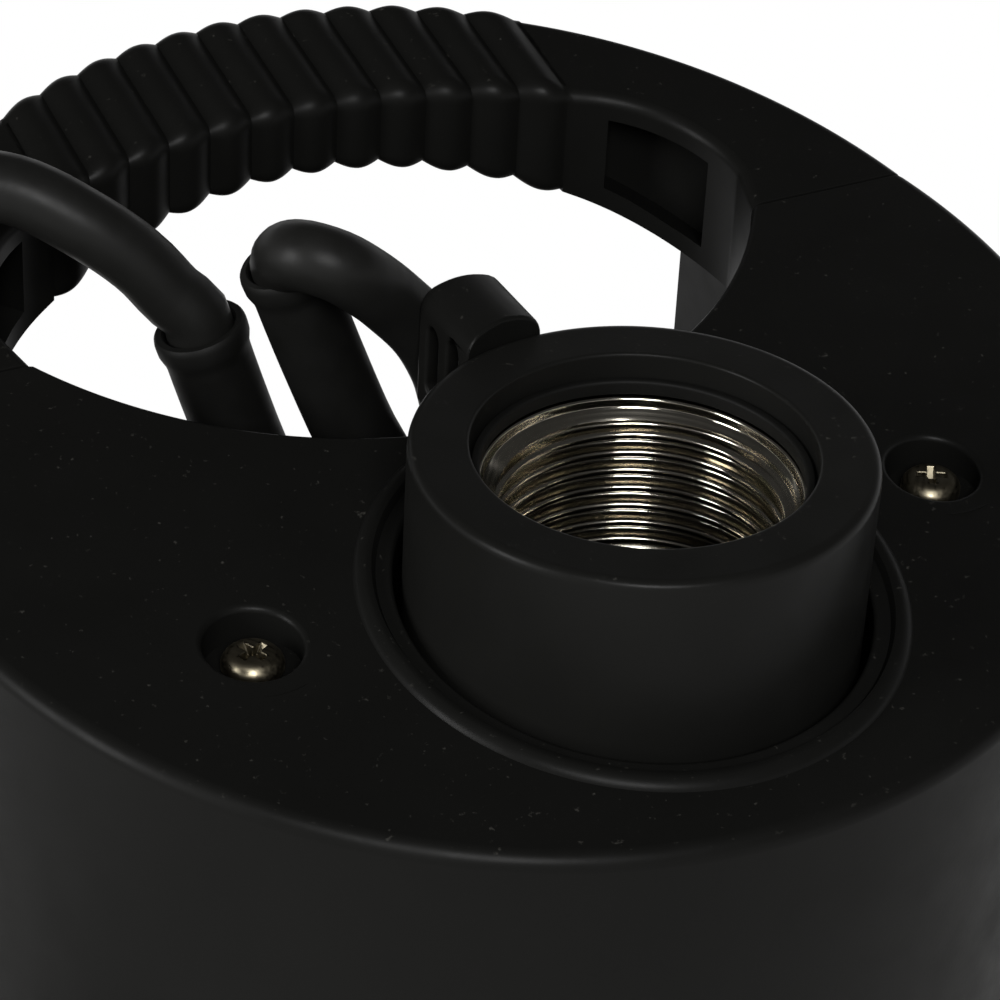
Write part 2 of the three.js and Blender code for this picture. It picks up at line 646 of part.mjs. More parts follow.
function intakeSlot(degrees) {
  const half = SLOT_WIDTH / 2;
  const top = SLOT_BOTTOM + SLOT_HEIGHT;
  const side = [[-half, SLOT_BOTTOM], [half, SLOT_BOTTOM], ...arc(0, top - half, half, 0, Math.PI, 3)];
  return sidePrism(side, BODY_RADIUS - WALL - 3, BODY_RADIUS + 3).rotate([0, 0, degrees]);
}

function suctionBase() {
  const inner = BODY_RADIUS - WALL;
  const ledge = inner - LEDGE_WIDTH;
  const shell = turned([
    [BODY_RADIUS, PLATE_TOP + GAP], [BODY_RADIUS, SUCTION_TOP], [inner, SUCTION_TOP],
    [inner, LEDGE_TOP], [ledge, LEDGE_TOP], [ledge, LEDGE_TOP - LEDGE_HEIGHT],
    [inner, LEDGE_TOP - LEDGE_HEIGHT], [inner, PLATE_TOP + GAP],
  ], 40);
  const slots = around(SLOT_COUNT, (degrees) => intakeSlot(degrees));
  const bosses = FOOT_ANGLES.map((degrees) => {
    const [x, y] = polar(FOOT_CIRCLE, degrees);
    const boss = disc(FOOT_BOSS_RADIUS, PLATE_TOP + GAP, LEDGE_TOP - 1, 10, x, y);
    const half = FOOT_WEB_THICKNESS / 2;
    const web = block(0, inner - FOOT_CIRCLE + 1, -half, half, PLATE_TOP + GAP, LEDGE_TOP - 1)
      .rotate([0, 0, degrees]).translate([x, y, 0]);
    return union(boss, web);
  });
  const holes = FOOT_ANGLES.map((degrees) => (
    disc(SCREW_HOLE_RADIUS, PLATE_TOP - 1, PLATE_TOP + 17, 8, ...polar(FOOT_CIRCLE, degrees))
  ));
  return union(shell.subtract(slots), ...bosses).subtract(union(...holes));
}

function basePlate() {
  const holes = FOOT_ANGLES.map((degrees) => (
    disc(SCREW_HOLE_RADIUS, 0, PLATE_TOP + 1, 8, ...polar(FOOT_CIRCLE, degrees))
  ));
  return disc(BODY_RADIUS, PLATE_BOTTOM, PLATE_TOP, 40).subtract(union(...holes));
}

// ---------- pump works ----------

function curvedVane(inner, outer, sweep, thickness, z0, z1) {
  const near = [];
  const far = [];
  for (let i = 0; i <= 3; i += 1) {
    const radius = inner + ((outer - inner) * i) / 3;
    const angle = (sweep * i) / 3;
    const half = thickness / 2 / radius;
    near.push([radius * Math.cos(angle - half), radius * Math.sin(angle - half)]);
    far.unshift([radius * Math.cos(angle + half), radius * Math.sin(angle + half)]);
  }
  return prism([...near, ...far], z0, z1);
}

const hubBottom = IMPELLER_LEVEL + GAP;
const hubTop = hubBottom + IMPELLER_HUB_LENGTH;

function impeller() {
  const shroud = IMPELLER_LEVEL + IMPELLER_VANE_HEIGHT;
  const vanes = around(IMPELLER_VANES, (degrees) => (
    curvedVane(IMPELLER_HUB_RADIUS - 1, IMPELLER_RADIUS - 0.5, -0.9, IMPELLER_VANE_THICKNESS,
      IMPELLER_LEVEL, shroud + 1).rotate([0, 0, degrees])
  ));
  const bore = SHAFT_RADIUS + GAP;
  const top = shroud + IMPELLER_SHROUD_THICKNESS;
  const wheel = turned([
    [bore, hubBottom], [IMPELLER_HUB_RADIUS, hubBottom], [IMPELLER_HUB_RADIUS, shroud],
    [IMPELLER_RADIUS, shroud], [IMPELLER_RADIUS, top], [IMPELLER_HUB_RADIUS, top],
    [IMPELLER_HUB_RADIUS, hubTop], [bore, hubTop],
  ], 18);
  return union(wheel, vanes);
}

function diffuser() {
  const outer = BODY_RADIUS - WALL - GAP;
  const floor = IMPELLER_LEVEL + DIFFUSER_FLOOR_THICKNESS;
  const vanes = around(DIFFUSER_VANES, (degrees) => (
    curvedVane(DIFFUSER_INNER, outer - 0.5, 0.28, DIFFUSER_VANE_THICKNESS, floor - 1, CARRIER_LEVEL - GAP)
      .rotate([0, 0, degrees])
  ));
  return union(ring(DIFFUSER_INNER, outer, IMPELLER_LEVEL, floor, 24), vanes);
}

const sealRingLevel = hubTop + GAP;
const sealSeatLevel = sealRingLevel + SEAL_RING_HEIGHT + GAP;

function sealCarrier() {
  const outer = BODY_RADIUS - WALL - GAP;
  const seat = SEAL_SEAT_RADIUS + GAP;
  const bore = SHAFT_RADIUS + 2;
  const bearing = BEARING_RADIUS + GAP;
  const bottom = CARRIER_LEVEL - CARRIER_HUB_DROP;
  const top = CARRIER_LEVEL + CARRIER_THICKNESS;
  const seatTop = sealSeatLevel + SEAL_SEAT_HEIGHT + GAP;
  const hubEnd = BEARING_LEVEL + BEARING_HEIGHT + 1;
  const body = turned([
    [seat, bottom], [CARRIER_HUB_RADIUS, bottom], [CARRIER_HUB_RADIUS, CARRIER_LEVEL],
    [outer, CARRIER_LEVEL], [outer, top], [CARRIER_HUB_RADIUS, top], [CARRIER_HUB_RADIUS, hubEnd],
    [bearing, hubEnd], [bearing, BEARING_LEVEL], [bore, BEARING_LEVEL], [bore, seatTop], [seat, seatTop],
  ], 24);
  const passages = around(JACKET_PASSAGES, (degrees) => (
    disc(JACKET_PASSAGE_RADIUS, bottom, top + 2, 6, JACKET_PASSAGE_CIRCLE, 0)
      .rotate([0, 0, degrees + 12])
  ));
  return body.subtract(passages);
}

// ---------- motor ----------

function motorCan() {
  return ring(CAN_RADIUS - CAN_WALL, CAN_RADIUS, CAN_BOTTOM, CAN_TOP, 28);
}

function motorCap() {
  const base = CAN_TOP + GAP;
  const bottom = base - CAP_THICKNESS;
  const top = base + CAP_THICKNESS;
  const lip = CAN_RADIUS - CAN_WALL - GAP;
  const body = turned([
    [0, bottom], [lip, bottom], [lip, base], [CAN_RADIUS, base], [CAN_RADIUS, top], [0, top],
  ], 28);
  const holes = [mainBootBase, floatBootBase].map(([x, y]) => (
    disc(BOOT_STEM_RADIUS + GAP, bottom - 3, top + 3, 12, x, y)
  ));
  return body.subtract(union(...holes));
}

const bracketTop = BRACKET_LEVEL + BRACKET_THICKNESS;
const bracketBottom = BRACKET_LEVEL - BRACKET_HUB_DROP;

function bearingBracket() {
  const outer = CAN_RADIUS - CAN_WALL - GAP - FACET_PLAY;
  const bore = BEARING_RADIUS + GAP;
  return turned([
    [bore, bracketBottom], [CARRIER_HUB_RADIUS, bracketBottom], [CARRIER_HUB_RADIUS, BRACKET_LEVEL],
    [outer, BRACKET_LEVEL], [outer, bracketTop], [bore, bracketTop],
  ], 20);
}

function winding(z0, z1) {
  const inner = STATOR_BORE + WINDING_INNER_INSET;
  const outer = CAN_RADIUS - WINDING_OUTER_INSET;
  const cut = WINDING_CHAMFER;
  return turned([
    [inner, z0 + cut], [inner + cut, z0], [outer - cut, z0], [outer, z0 + cut],
    [outer, z1 - cut], [outer - cut, z1], [inner + cut, z1], [inner, z1 - cut],
  ], 16);
}

const nutTop = IMPELLER_LEVEL - GAP;
const nutBottom = nutTop - NUT_HEIGHT;

function shaft() {
  const end = nutBottom - 0.5;
  const top = BRACKET_LEVEL + 2;
  return turned([
    [0, end], [SHAFT_STUD_RADIUS, end], [SHAFT_STUD_RADIUS, IMPELLER_LEVEL],
    [SHAFT_RADIUS, IMPELLER_LEVEL], [SHAFT_RADIUS, top], [0, top],
  ], 16);
}

function hexNut(across, bore, z0, z1) {
  const points = arc(0, 0, across / Math.sqrt(3), 0, (5 / 3) * Math.PI, 5);
  return prism(points, z0, z1).subtract(disc(bore, z0 - 1, z1 + 1, 10));
}

// ---------- float switch ----------

const down = new THREE.Vector3(0, Math.sin(FLOAT_LEAN), -Math.cos(FLOAT_LEAN));
const bendEnd = new THREE.Vector3(...FLOAT_BEND_END);
const dropEnd = bendEnd.clone().addScaledVector(down, FLOAT_DROP);

// The float in its own frame: the cord's entry at the origin, the body hanging down -z.
function floatOutline(wall) {
  const half = FLOAT_WIDTH / 2 - wall;
  const top = -FLOAT_NECK_LENGTH - wall;
  const bottom = -FLOAT_NECK_LENGTH - FLOAT_LENGTH + wall;
  const round = half * 0.75;
  const points = [[0, bottom]];
  for (let i = 1; i <= 3; i += 1) {
    const angle = ((i / 3) * Math.PI) / 2;
    points.push([half - round + round * Math.sin(angle), bottom + round * (1 - Math.cos(angle))]);
  }
  for (let i = 0; i < 3; i += 1) {
    const angle = ((i / 3) * Math.PI) / 2;
    points.push([half - round + round * Math.cos(angle), top - round * (1 - Math.sin(angle))]);
  }
  points.push([half - round, top], [0, top]);
  return turned(points, 20).scale([1, FLOAT_THICKNESS / FLOAT_WIDTH, 1]);
}

function floatBody() {
  const neck = disc(FLOAT_NECK_RADIUS, -FLOAT_NECK_LENGTH - 1.5, 0, 16);
  return union(floatOutline(0), neck).subtract(floatOutline(FLOAT_WALL));
}

function placeFloat(body) {
  const degrees = THREE.MathUtils.radToDeg(FLOAT_LEAN);
  const entry = dropEnd.clone().addScaledVector(down, GAP);
  return body.rotate([degrees, 0, 0]).translate(entry.toArray());
}

function floatHalf(side) {
  const reach = FLOAT_LENGTH + FLOAT_WIDTH;
  const near = side > 0 ? GAP / 2 : -reach;
  const far = side > 0 ? reach : -GAP / 2;
  return placeFloat(floatBody().intersect(block(-reach, reach, near, far, -reach, reach)));
}

function floatBall() {
  const ball = solid(new THREE.SphereGeometry(FLOAT_BALL_RADIUS, 12, 8));
  const rest = -FLOAT_NECK_LENGTH - FLOAT_LENGTH + FLOAT_WALL + FLOAT_BALL_RADIUS + 8;
  return placeFloat(ball.translate([0, 0, rest]));
}

// ---------- cords ----------

const onDeck = DECK_LEVEL + FLOAT_CORD_RADIUS + GAP;

const overDeck = ([x, y, height]) => [x, y, DECK_LEVEL + height];

const mainBootPath = spline([
  [...mainBootBase, 2], [-16.6, 15.1, 11], [-17.1, 15.4, 21], [-18.3, 16.1, 31],
  [-20.5, 17.3, 41], [-23.3, 18.7, 50], [-25.4, 19.6, 57], [-27.3, 20.2, 63.7],
].map(overDeck));

const floatBootPath = spline([
  [...floatBootBase, 2], [-2.1, 5, 10], [-2.6, 5.2, 19], [-3.9, 5.9, 28],
  [-6.3, 7.1, 37], [-9, 8.5, 45], [-12, 10, 51.5], [-15, 11.1, 59.5], [-17.6, 11.6, 66.7],
  [-19.2, 11.9, 71.4],
].map(overDeck));

const mainLeadRoute = [
  [-29.9, 21.4, 312.6], [-33.3, 23, 317], [-38.6, 25.6, 321.5], [-45.5, 30.5, 325], [-54, 36, 324.6],
  [-63, 40, 320.6], [-72, 43.3, 312.8], [-80, 46, 300], [-85.5, 48, 283], [-88.8, 49.5, 262],
  [-90.6, 51.5, 235], [-91.3, 55.5, 205], [-91.6, 61.5, 172], [-91.5, 69, 138], [-91, 77.5, 104],
  [-90.3, 85, 72], [-89.6, 88, 46], [-88.9, 84.5, 25], [-88.4, 78, 15.2], [-87.9, 69.5, 8.8],
  [-87.6, 60, 5.6], [-87.5, 50, 4.7], [-87.5, 40, 5.2],
];

const floatLeadRoute = [
  [-20.9, 10.6, 321.1], [-20.8, 7, 323.6], [-17.9, 4.3, 323.2], [-13.8, 4.1, 320],
  [-10, 5, 316], [-6.2, 5.6, 311.4], [-3, 6.2, 305.6], [-0.6, 7.6, 299], [1.6, 9.4, 291.8],
  [4, 11.2, 283], [6.3, 13.6, 273], [7.8, 17.2, 263], [7.9, 23.5, 254], [6.8, 32.5, 249.9],
  [5, 42, onDeck], [2.5, 52, onDeck], [0.6, 61, onDeck], [0, 68, onDeck],
  [0, 72.8, 248.6],
];

function pathEnd(path, reach) {
  const end = path.getPointAt(1);
  return end.addScaledVector(path.getTangentAt(1), reach);
}

function boot(path, radius, base) {
  const sleeve = tube(path, radius, 10, 9);
  const lipStart = pathEnd(path, -BOOT_LIP_LENGTH);
  const lip = tube(new THREE.LineCurve3(lipStart, pathEnd(path, 0)), radius + BOOT_LIP, 10, 1);
  const flange = disc(BOOT_FLANGE_RADIUS, footing, footing + BOOT_FLANGE_HEIGHT, 12, ...base);
  const stem = disc(BOOT_STEM_RADIUS, CAN_TOP - 2, footing + 1, 10, ...base);
  return union(sleeve, lip, flange, stem);
}

// The wound part of the main cord: layers of turns that spiral in and out by turns.
class CoilCurve extends THREE.Curve {
  getPoint(t, target = new THREE.Vector3()) {
    const straight = 2 * MAIN_CORD_RADIUS;
    const turnLength = 2 * Math.PI * COIL_MID_RADIUS;
    const total = COIL_END_TURN * turnLength + 2 * straight;
    const along = t * total - straight;
    const turn = Math.min(Math.max(along / turnLength, 0), COIL_END_TURN);
    const beyond = along - turn * turnLength;
    return coilPoint(turn, target).addScaledVector(coilTangent(turn), beyond);
  }
}

const coilBottom = TIE_THICKNESS + 2 * GAP + MAIN_CORD_RADIUS;

function coilPoint(turn, target = new THREE.Vector3()) {
  const layer = Math.min(Math.floor(turn / COIL_TURNS_PER_LAYER), COIL_LAYERS - 1);
  const within = turn / COIL_TURNS_PER_LAYER - layer;
  const inward = layer % 2 === 0 ? within : 1 - within;
  const width = COIL_TURNS_PER_LAYER * COIL_SPACING;
  const radius = COIL_MID_RADIUS + width / 2 - width * inward;
  let rise = 0;
  for (let k = 1; k < COIL_LAYERS; k += 1) {
    const change = k * COIL_TURNS_PER_LAYER;
    rise += THREE.MathUtils.smoothstep(turn, change - 0.25, change + 0.25);
  }
  const angle = -2 * Math.PI * turn;
  return target.set(
    COIL_CENTRE[0] + radius * Math.cos(angle),
    COIL_CENTRE[1] + radius * Math.sin(angle),
    coilBottom + rise * COIL_SPACING,
  );
}

function coilTangent(turn) {
  const angle = -2 * Math.PI * turn;
  return new THREE.Vector3(Math.sin(angle), -Math.cos(angle), 0);
}

const coilCurve = new CoilCurve();
const coilSteps = Math.round(COIL_END_TURN * COIL_STEPS_PER_TURN) + 2;

// Least distance between the surfaces of the coil's turns, measured on its points.
function coilClearance() {
  const points = [];
  for (let i = 0; i <= coilSteps; i += 1) points.push(coilCurve.getPoint(i / coilSteps));
  let least = Infinity;
  for (let i = 0; i < points.length; i += 1) {
    for (let j = i + 12; j < points.length; j += 1) {
      const next = points[Math.min(j + 1, points.length - 1)];
      least = Math.min(least, segmentDistance(points[i], points[j], next));
    }
  }
  return least - 2 * MAIN_CORD_RADIUS;
}

function segmentDistance(point, a, b) {
  const line = new THREE.Line3(a, b);
  const nearest = line.closestPointToPoint(point, true, new THREE.Vector3());
  return nearest.distanceTo(point);
}

function coilTie() {
  const width = COIL_TURNS_PER_LAYER * COIL_SPACING + 2 * MAIN_CORD_RADIUS;
  const height = (COIL_LAYERS - 1) * COIL_SPACING + 2 * MAIN_CORD_RADIUS;
  const half = width / 2 + 2;
  const x = COIL_CENTRE[0] - COIL_MID_RADIUS;
  const y = COIL_CENTRE[1];
  const low = coilBottom - MAIN_CORD_RADIUS - GAP;
  const high = low + height + 2 * GAP;
  const reach = half + TIE_THICKNESS;
  const outside = block(x - reach, x + reach, y - TIE_WIDTH / 2, y + TIE_WIDTH / 2,
    low - TIE_THICKNESS, high + TIE_THICKNESS);
  return outside.subtract(block(x - half, x + half, y - TIE_WIDTH, y + TIE_WIDTH, low, high));
}

const coilStart = coilCurve.getPoint(0);
const coilEnd = coilCurve.getPoint(1);
const coilTop = coilBottom + (COIL_LAYERS - 1) * COIL_SPACING + MAIN_CORD_RADIUS;
const plugBack = new THREE.Vector3(
  COIL_CENTRE[0] + COIL_MID_RADIUS - 2,
  COIL_CENTRE[1] + PLUG_BACK_Y,
  coilTop + GAP + PLUG_RADIUS,
);

// From the coil's last turn up onto its top, where the plug lies.
function tailRoute() {
  const [x, y] = COIL_CENTRE;
  const edge = COIL_MID_RADIUS + COIL_SPACING;
  return [
    [x + 28, y + edge + 4.2, coilEnd.z + 2], [x + 46, y + edge - 4.8, coilEnd.z + 9],
    [x + 57, y + edge - 16.8, coilEnd.z + 18],
  ];
}

// The plug lies on the coil with its pins pointing along -y.
function mainsPlug() {
  const body = turned([
    [0, 0], [PLUG_NECK_RADIUS, 0], [PLUG_NECK_RADIUS + 1, PLUG_NECK_LENGTH],
    [PLUG_RADIUS - 4, PLUG_NECK_LENGTH + 8], [PLUG_RADIUS - 1, PLUG_NECK_LENGTH + 22],
    [PLUG_RADIUS, PLUG_NECK_LENGTH + 24], [PLUG_RADIUS, PLUG_LENGTH + 14], [0, PLUG_LENGTH + 14],
  ], 20);
  const sockets = [-1, 1].map((side) => (
    disc(PIN_RADIUS + GAP, PLUG_LENGTH + 4, PLUG_LENGTH + 20, 10, (side * PIN_SPACING) / 2, 0)
  ));
  return body.subtract(union(...sockets)).rotate([90, 0, 0]).translate(plugBack.toArray());
}

function plugPin(side) {
  const start = PLUG_LENGTH + 4 + GAP;
  const tip = PLUG_LENGTH + 14 + PIN_LENGTH;
  const profile = [[0, start], [PIN_RADIUS, start], [PIN_RADIUS, tip - 1.5], [PIN_RADIUS - 1, tip], [0, tip]];
  return turned(profile, 10)
    .translate([(side * PIN_SPACING) / 2, 0, 0])
    .rotate([90, 0, 0])
    .translate(plugBack.toArray());
}

function stretch(start, startDirection, route, end, endDirection, radius, steps) {
  const lead = 2 * radius;
  const first = start.clone().addScaledVector(startDirection, GAP);
  const last = end.clone().addScaledVector(endDirection, -GAP);
  const points = [
    first, first.clone().addScaledVector(startDirection, CORD_LEAD_IN),
    ...route.map((point) => new THREE.Vector3(...point)),
    last.clone().addScaledVector(endDirection, -lead * 0.7), last,
  ];
  const path = new THREE.CatmullRomCurve3(points, false, 'centripetal');
  return tube(path, radius, 8, steps);
}

// ---------- assembly ----------

function addTop() {
  add('top_cover', topCover(), blackPlastic);
  add('handle', handle(), blackPlastic);
  add('outlet_collar', outletCollar(), blackPlastic);
  add('threaded_insert', threadedInsert(), nickel);
  add('outlet_seal', sealBand(), sleeveRubber);
  add('riser_ring', riserRing(), sleeveRubber);
  add('cord_clip', cordClip(), blackPlastic);
  const seat = coverTop(0, COVER_SCREW_Y) - COUNTERBORE_DEPTH + GAP;
  const deckUnderside = DECK_LEVEL - DECK_THICKNESS - GAP;
  for (const [name, side] of [['left', -1], ['right', 1]]) {
    const coverScrew = crossScrew(SCREW_LENGTH).translate([side * COVER_SCREW_X, COVER_SCREW_Y, seat]);
    add(`cover_screw_${name}`, coverScrew, platedSteel);
    const handleScrew = upward(plainScrew(SCREW_LENGTH));
    add(`handle_screw_${name}`,
      handleScrew.translate([side * HANDLE_SCREW_X, HANDLE_SCREW_Y, deckUnderside]), platedSteel);
  }
}

function addHousing() {
  add('casing', casing(), blackPlastic);
  add('suction_base', suctionBase(), blackPlastic);
  add('base_plate', basePlate(), blackPlastic);
  for (let i = 0; i < 4; i += 1) {
    const [x, y] = polar(FOOT_CIRCLE, 45 + 90 * i);
    const foot = ring(SCREW_HEAD_RADIUS + 2 * GAP, FOOT_RADIUS, 0, PLATE_BOTTOM - GAP, 14, x, y);
    add(`foot_${i + 1}`, foot, sleeveRubber);
    const screw = upward(plainScrew(BASE_SCREW_LENGTH)).translate([x, y, PLATE_BOTTOM - GAP]);
    add(`base_screw_${i + 1}`, screw, platedSteel);
  }
}

function addPumpWorks() {
  const ledge = BODY_RADIUS - WALL - GAP;
  const wearPlate = LEDGE_TOP + GAP;
  const bore = SHAFT_RADIUS + GAP;
  add('wear_plate', ring(EYE_RADIUS, ledge, wearPlate, wearPlate + WEAR_PLATE_THICKNESS, 24), stainless);
  add('impeller', impeller(), blackPlastic);
  add('impeller_nut', hexNut(NUT_WIDTH, SHAFT_STUD_RADIUS + GAP, nutBottom, nutTop), brass);
  add('diffuser', diffuser(), blackPlastic);
  add('seal_carrier', sealCarrier(), castAluminium);
  const ringTop = sealRingLevel + SEAL_RING_HEIGHT;
  const seatTop = sealSeatLevel + SEAL_SEAT_HEIGHT;
  add('seal_ring', ring(bore, SEAL_RING_RADIUS, sealRingLevel, ringTop, 16), ceramic);
  add('seal_seat', ring(SHAFT_RADIUS + 1, SEAL_SEAT_RADIUS, sealSeatLevel, seatTop, 16), ceramic);
}

function addMotor() {
  const bore = SHAFT_RADIUS + GAP;
  const lower = BEARING_LEVEL + GAP;
  const upper = bracketBottom + GAP;
  const floor = bracketTop + GAP;
  add('motor_can', motorCan(), stainless);
  add('motor_cap', motorCap(), castAluminium);
  add('bearing_bracket', bearingBracket(), castAluminium);
  add('bearing_lower', ring(bore, BEARING_RADIUS, lower, lower + BEARING_HEIGHT, 16), stainless);
  add('bearing_upper', ring(bore, BEARING_RADIUS, upper, upper + BEARING_HEIGHT, 16), stainless);
  add('shaft', shaft(), stainless);
  add('rotor_core', ring(bore, ROTOR_RADIUS, STATOR_BOTTOM, STATOR_TOP, 24), laminations);
  const statorEdge = CAN_RADIUS - CAN_WALL - GAP;
  add('stator_core', ring(STATOR_BORE, statorEdge, STATOR_BOTTOM, STATOR_TOP, 28), laminations);
  add('winding_lower', winding(STATOR_BOTTOM - WINDING_HEIGHT, STATOR_BOTTOM - GAP), copper);
  add('winding_upper', winding(STATOR_TOP + GAP, STATOR_TOP + WINDING_HEIGHT), copper);
  add('capacitor', disc(CAPACITOR_RADIUS, -CAPACITOR_LENGTH / 2, CAPACITOR_LENGTH / 2, 14)
    .rotate([0, 90, 0]).translate([0, CAPACITOR_Y, floor + CAPACITOR_RADIUS]), whitePlastic);
  add('terminal_block', block(-TERMINAL_LENGTH / 2, TERMINAL_LENGTH / 2, TERMINAL_Y - TERMINAL_WIDTH / 2,
    TERMINAL_Y + TERMINAL_WIDTH / 2, floor, floor + TERMINAL_HEIGHT), whitePlastic);
}

function addCords() {
  add('main_cord_boot', boot(mainBootPath, MAIN_BOOT_RADIUS, mainBootBase), sleeveRubber);
  add('float_cord_boot', boot(floatBootPath, FLOAT_BOOT_RADIUS, floatBootBase), sleeveRubber);
  add('main_cord_lead', stretch(pathEnd(mainBootPath, 0), mainBootPath.getTangentAt(1), mainLeadRoute,
    coilStart, new THREE.Vector3(0, -1, 0), MAIN_CORD_RADIUS, 24), cordRubber);
  add('main_cord_coil', tube(coilCurve, MAIN_CORD_RADIUS, 5, coilSteps), cordRubber);
  add('coil_tie', coilTie(), sleeveRubber);
  add('main_cord_tail', stretch(coilEnd, new THREE.Vector3(1, 0, 0), tailRoute(), plugBack,
    new THREE.Vector3(0, -1, 0), MAIN_CORD_RADIUS, 8), cordRubber);
  add('mains_plug', mainsPlug(), sleeveRubber);
  add('plug_pin_1', plugPin(-1), nickel);
  add('plug_pin_2', plugPin(1), nickel);
  const hinge = new THREE.Vector3(...FLOAT_HINGE);
  const slant = new THREE.Vector3(0, 1, -1).normalize();
  add('float_cord_upper', stretch(pathEnd(floatBootPath, 0), floatBootPath.getTangentAt(1), floatLeadRoute,
    hinge, slant, FLOAT_CORD_RADIUS, 28), cordRubber);
  add('float_cord_drop', stretch(hinge, slant, [bendEnd.toArray()], dropEnd, down, FLOAT_CORD_RADIUS, 8),
    cordRubber);
}

function addFloat() {
  add('float_shell_inner', floatHalf(-1), orangePlastic);
  add('float_shell_outer', floatHalf(1), orangePlastic);
  add('float_ball', floatBall(), stainless);
}

addTop();
addHousing();
addPumpWorks();
addMotor();
addCords();
addFloat();
console.log(`least gap between turns of the coil: ${coilClearance().toFixed(2)} mm`);

export default model;
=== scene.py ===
import json
import math

import bmesh
import bpy
from bpy.props import FloatProperty, FloatVectorProperty, IntProperty, PointerProperty
from mathutils import Matrix, Vector

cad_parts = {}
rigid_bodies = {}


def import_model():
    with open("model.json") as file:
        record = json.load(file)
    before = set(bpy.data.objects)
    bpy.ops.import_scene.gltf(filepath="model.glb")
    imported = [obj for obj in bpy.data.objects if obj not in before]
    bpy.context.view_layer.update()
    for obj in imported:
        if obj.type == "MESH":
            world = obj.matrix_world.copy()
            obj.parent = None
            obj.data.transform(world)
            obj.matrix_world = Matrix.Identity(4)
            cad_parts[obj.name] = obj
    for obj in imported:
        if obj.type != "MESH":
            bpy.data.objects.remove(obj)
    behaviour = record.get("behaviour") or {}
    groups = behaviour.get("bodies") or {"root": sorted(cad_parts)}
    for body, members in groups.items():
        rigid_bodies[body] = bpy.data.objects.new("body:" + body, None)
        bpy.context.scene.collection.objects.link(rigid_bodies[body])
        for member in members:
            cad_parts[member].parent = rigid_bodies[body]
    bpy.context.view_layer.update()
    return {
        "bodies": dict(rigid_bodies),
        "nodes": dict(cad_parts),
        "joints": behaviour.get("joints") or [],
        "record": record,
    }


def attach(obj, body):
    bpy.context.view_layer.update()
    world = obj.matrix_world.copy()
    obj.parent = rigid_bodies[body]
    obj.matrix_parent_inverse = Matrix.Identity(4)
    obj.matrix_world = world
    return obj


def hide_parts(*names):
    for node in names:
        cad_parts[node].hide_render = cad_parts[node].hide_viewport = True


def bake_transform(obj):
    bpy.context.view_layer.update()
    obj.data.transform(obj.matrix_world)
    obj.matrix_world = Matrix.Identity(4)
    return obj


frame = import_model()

bl_info = {
    "name": "Submersible sump pump",
    "version": (1, 0, 0),
    "blender": (4, 5, 0),
    "location": "View3D > Sidebar > Pump",
    "description": "Builds the visible pieces of a submersible pump around its packed frame",
    "category": "Add Mesh",
}

MM = 0.001

# Sizes in millimetres. Those of the solids are named and valued as in the part's source.
BODY_RADIUS = 72.0
WALL = 3.0
GAP = 0.3
THROUGH = 5.0                               # how far a cutter runs past what it cuts
PLATE_LEVEL = 300.0
DECK_LEVEL = 245.0
DECK_THICKNESS = 4.0
PLATE_THICKNESS = 3.5
COVER_SLOPE = 0.136
HANDLE_SLOPE = 0.206
SEAM_Y = 21.5
OUTLET_Y = -34.5
COLLAR_RADIUS = 25.0
COLLAR_TOP = PLATE_LEVEL + 18.2
COLLAR_BORE = 18.44
FLOW_RADIUS = 15.4
SPIGOT_RADIUS = 21.5
PLATE_HOLE_RADIUS = 26.0
PLATE_HOLE_FLARE = 0.5
OPENING_FRONT_Y = -4.7
OPENING_RADIUS = BODY_RADIUS - 17
OPENING_CENTRE_Y = OPENING_FRONT_Y + OPENING_RADIUS
MOUTH_X = math.sqrt(OPENING_RADIUS**2 - (OPENING_CENTRE_Y - SEAM_Y) ** 2)
COLUMN_INNER_X = BODY_RADIUS - 23.5
COLUMN_REAR_Y = 40.0
GRIP_CORNER_RADIUS = 20.0
GRIP_REAR_RADIUS = 90.0
GRIP_REAR_CENTRE_Y = -36.1
GRIP_CORNER_X = COLUMN_INNER_X - GRIP_CORNER_RADIUS
GRIP_CORNER_RISE = math.sqrt((GRIP_REAR_RADIUS - GRIP_CORNER_RADIUS) ** 2 - GRIP_CORNER_X**2)
GRIP_CORNER = (GRIP_CORNER_X, GRIP_REAR_CENTRE_Y + GRIP_CORNER_RISE)
GRIP_CORNER_SWEEP = math.atan2(GRIP_CORNER_RISE, GRIP_CORNER_X)
GRIP_EDGE_END_X = COLUMN_INNER_X + 3.5      # the grip's inner edge is rounded up to here
GRIP_ROUNDING = 1.5
OPENING_ROUNDING = 0.7
JOINT_ROUNDING = 0.25                       # along the joint of cover and handle
JOINT_REACH = 0.4
ARCH_TOP = 5.5
ARCH_RADIUS = 92.0
RIB_COUNT = 12
RIB_PITCH = 5.75
RIB_HEIGHT = 1.0
COVER_SCREW = (42.0, -28.3)
MAIN_BOOT_BASE = (-16.5, 15.0)
FLOAT_BOOT_BASE = (-2.0, 5.0)
MAIN_CORD_RADIUS = 4.0
FLOAT_CORD_RADIUS = 4.0
TIE_THICKNESS = 1.4
TIE_WIDTH = 14.0
COIL_CENTRE = (-168.7, 18.0)
COIL_MID_RADIUS = 63.7
COIL_LAYERS = 6
COIL_TURNS_PER_LAYER = 4
COIL_SPACING = 9.1
COIL_END_TURN = 23.75
COIL_STEP_TURNS = 0.5                       # the cord climbs to its next layer over this
COIL_BOTTOM = TIE_THICKNESS + 2 * GAP + MAIN_CORD_RADIUS
COIL_TOP = COIL_BOTTOM + (COIL_LAYERS - 1) * COIL_SPACING + MAIN_CORD_RADIUS
FLOAT_LEAN = math.radians(11)
FLOAT_HINGE = Vector((0, 77, 245.6))
FLOAT_BEND_END = Vector((0, 81, 238.5))
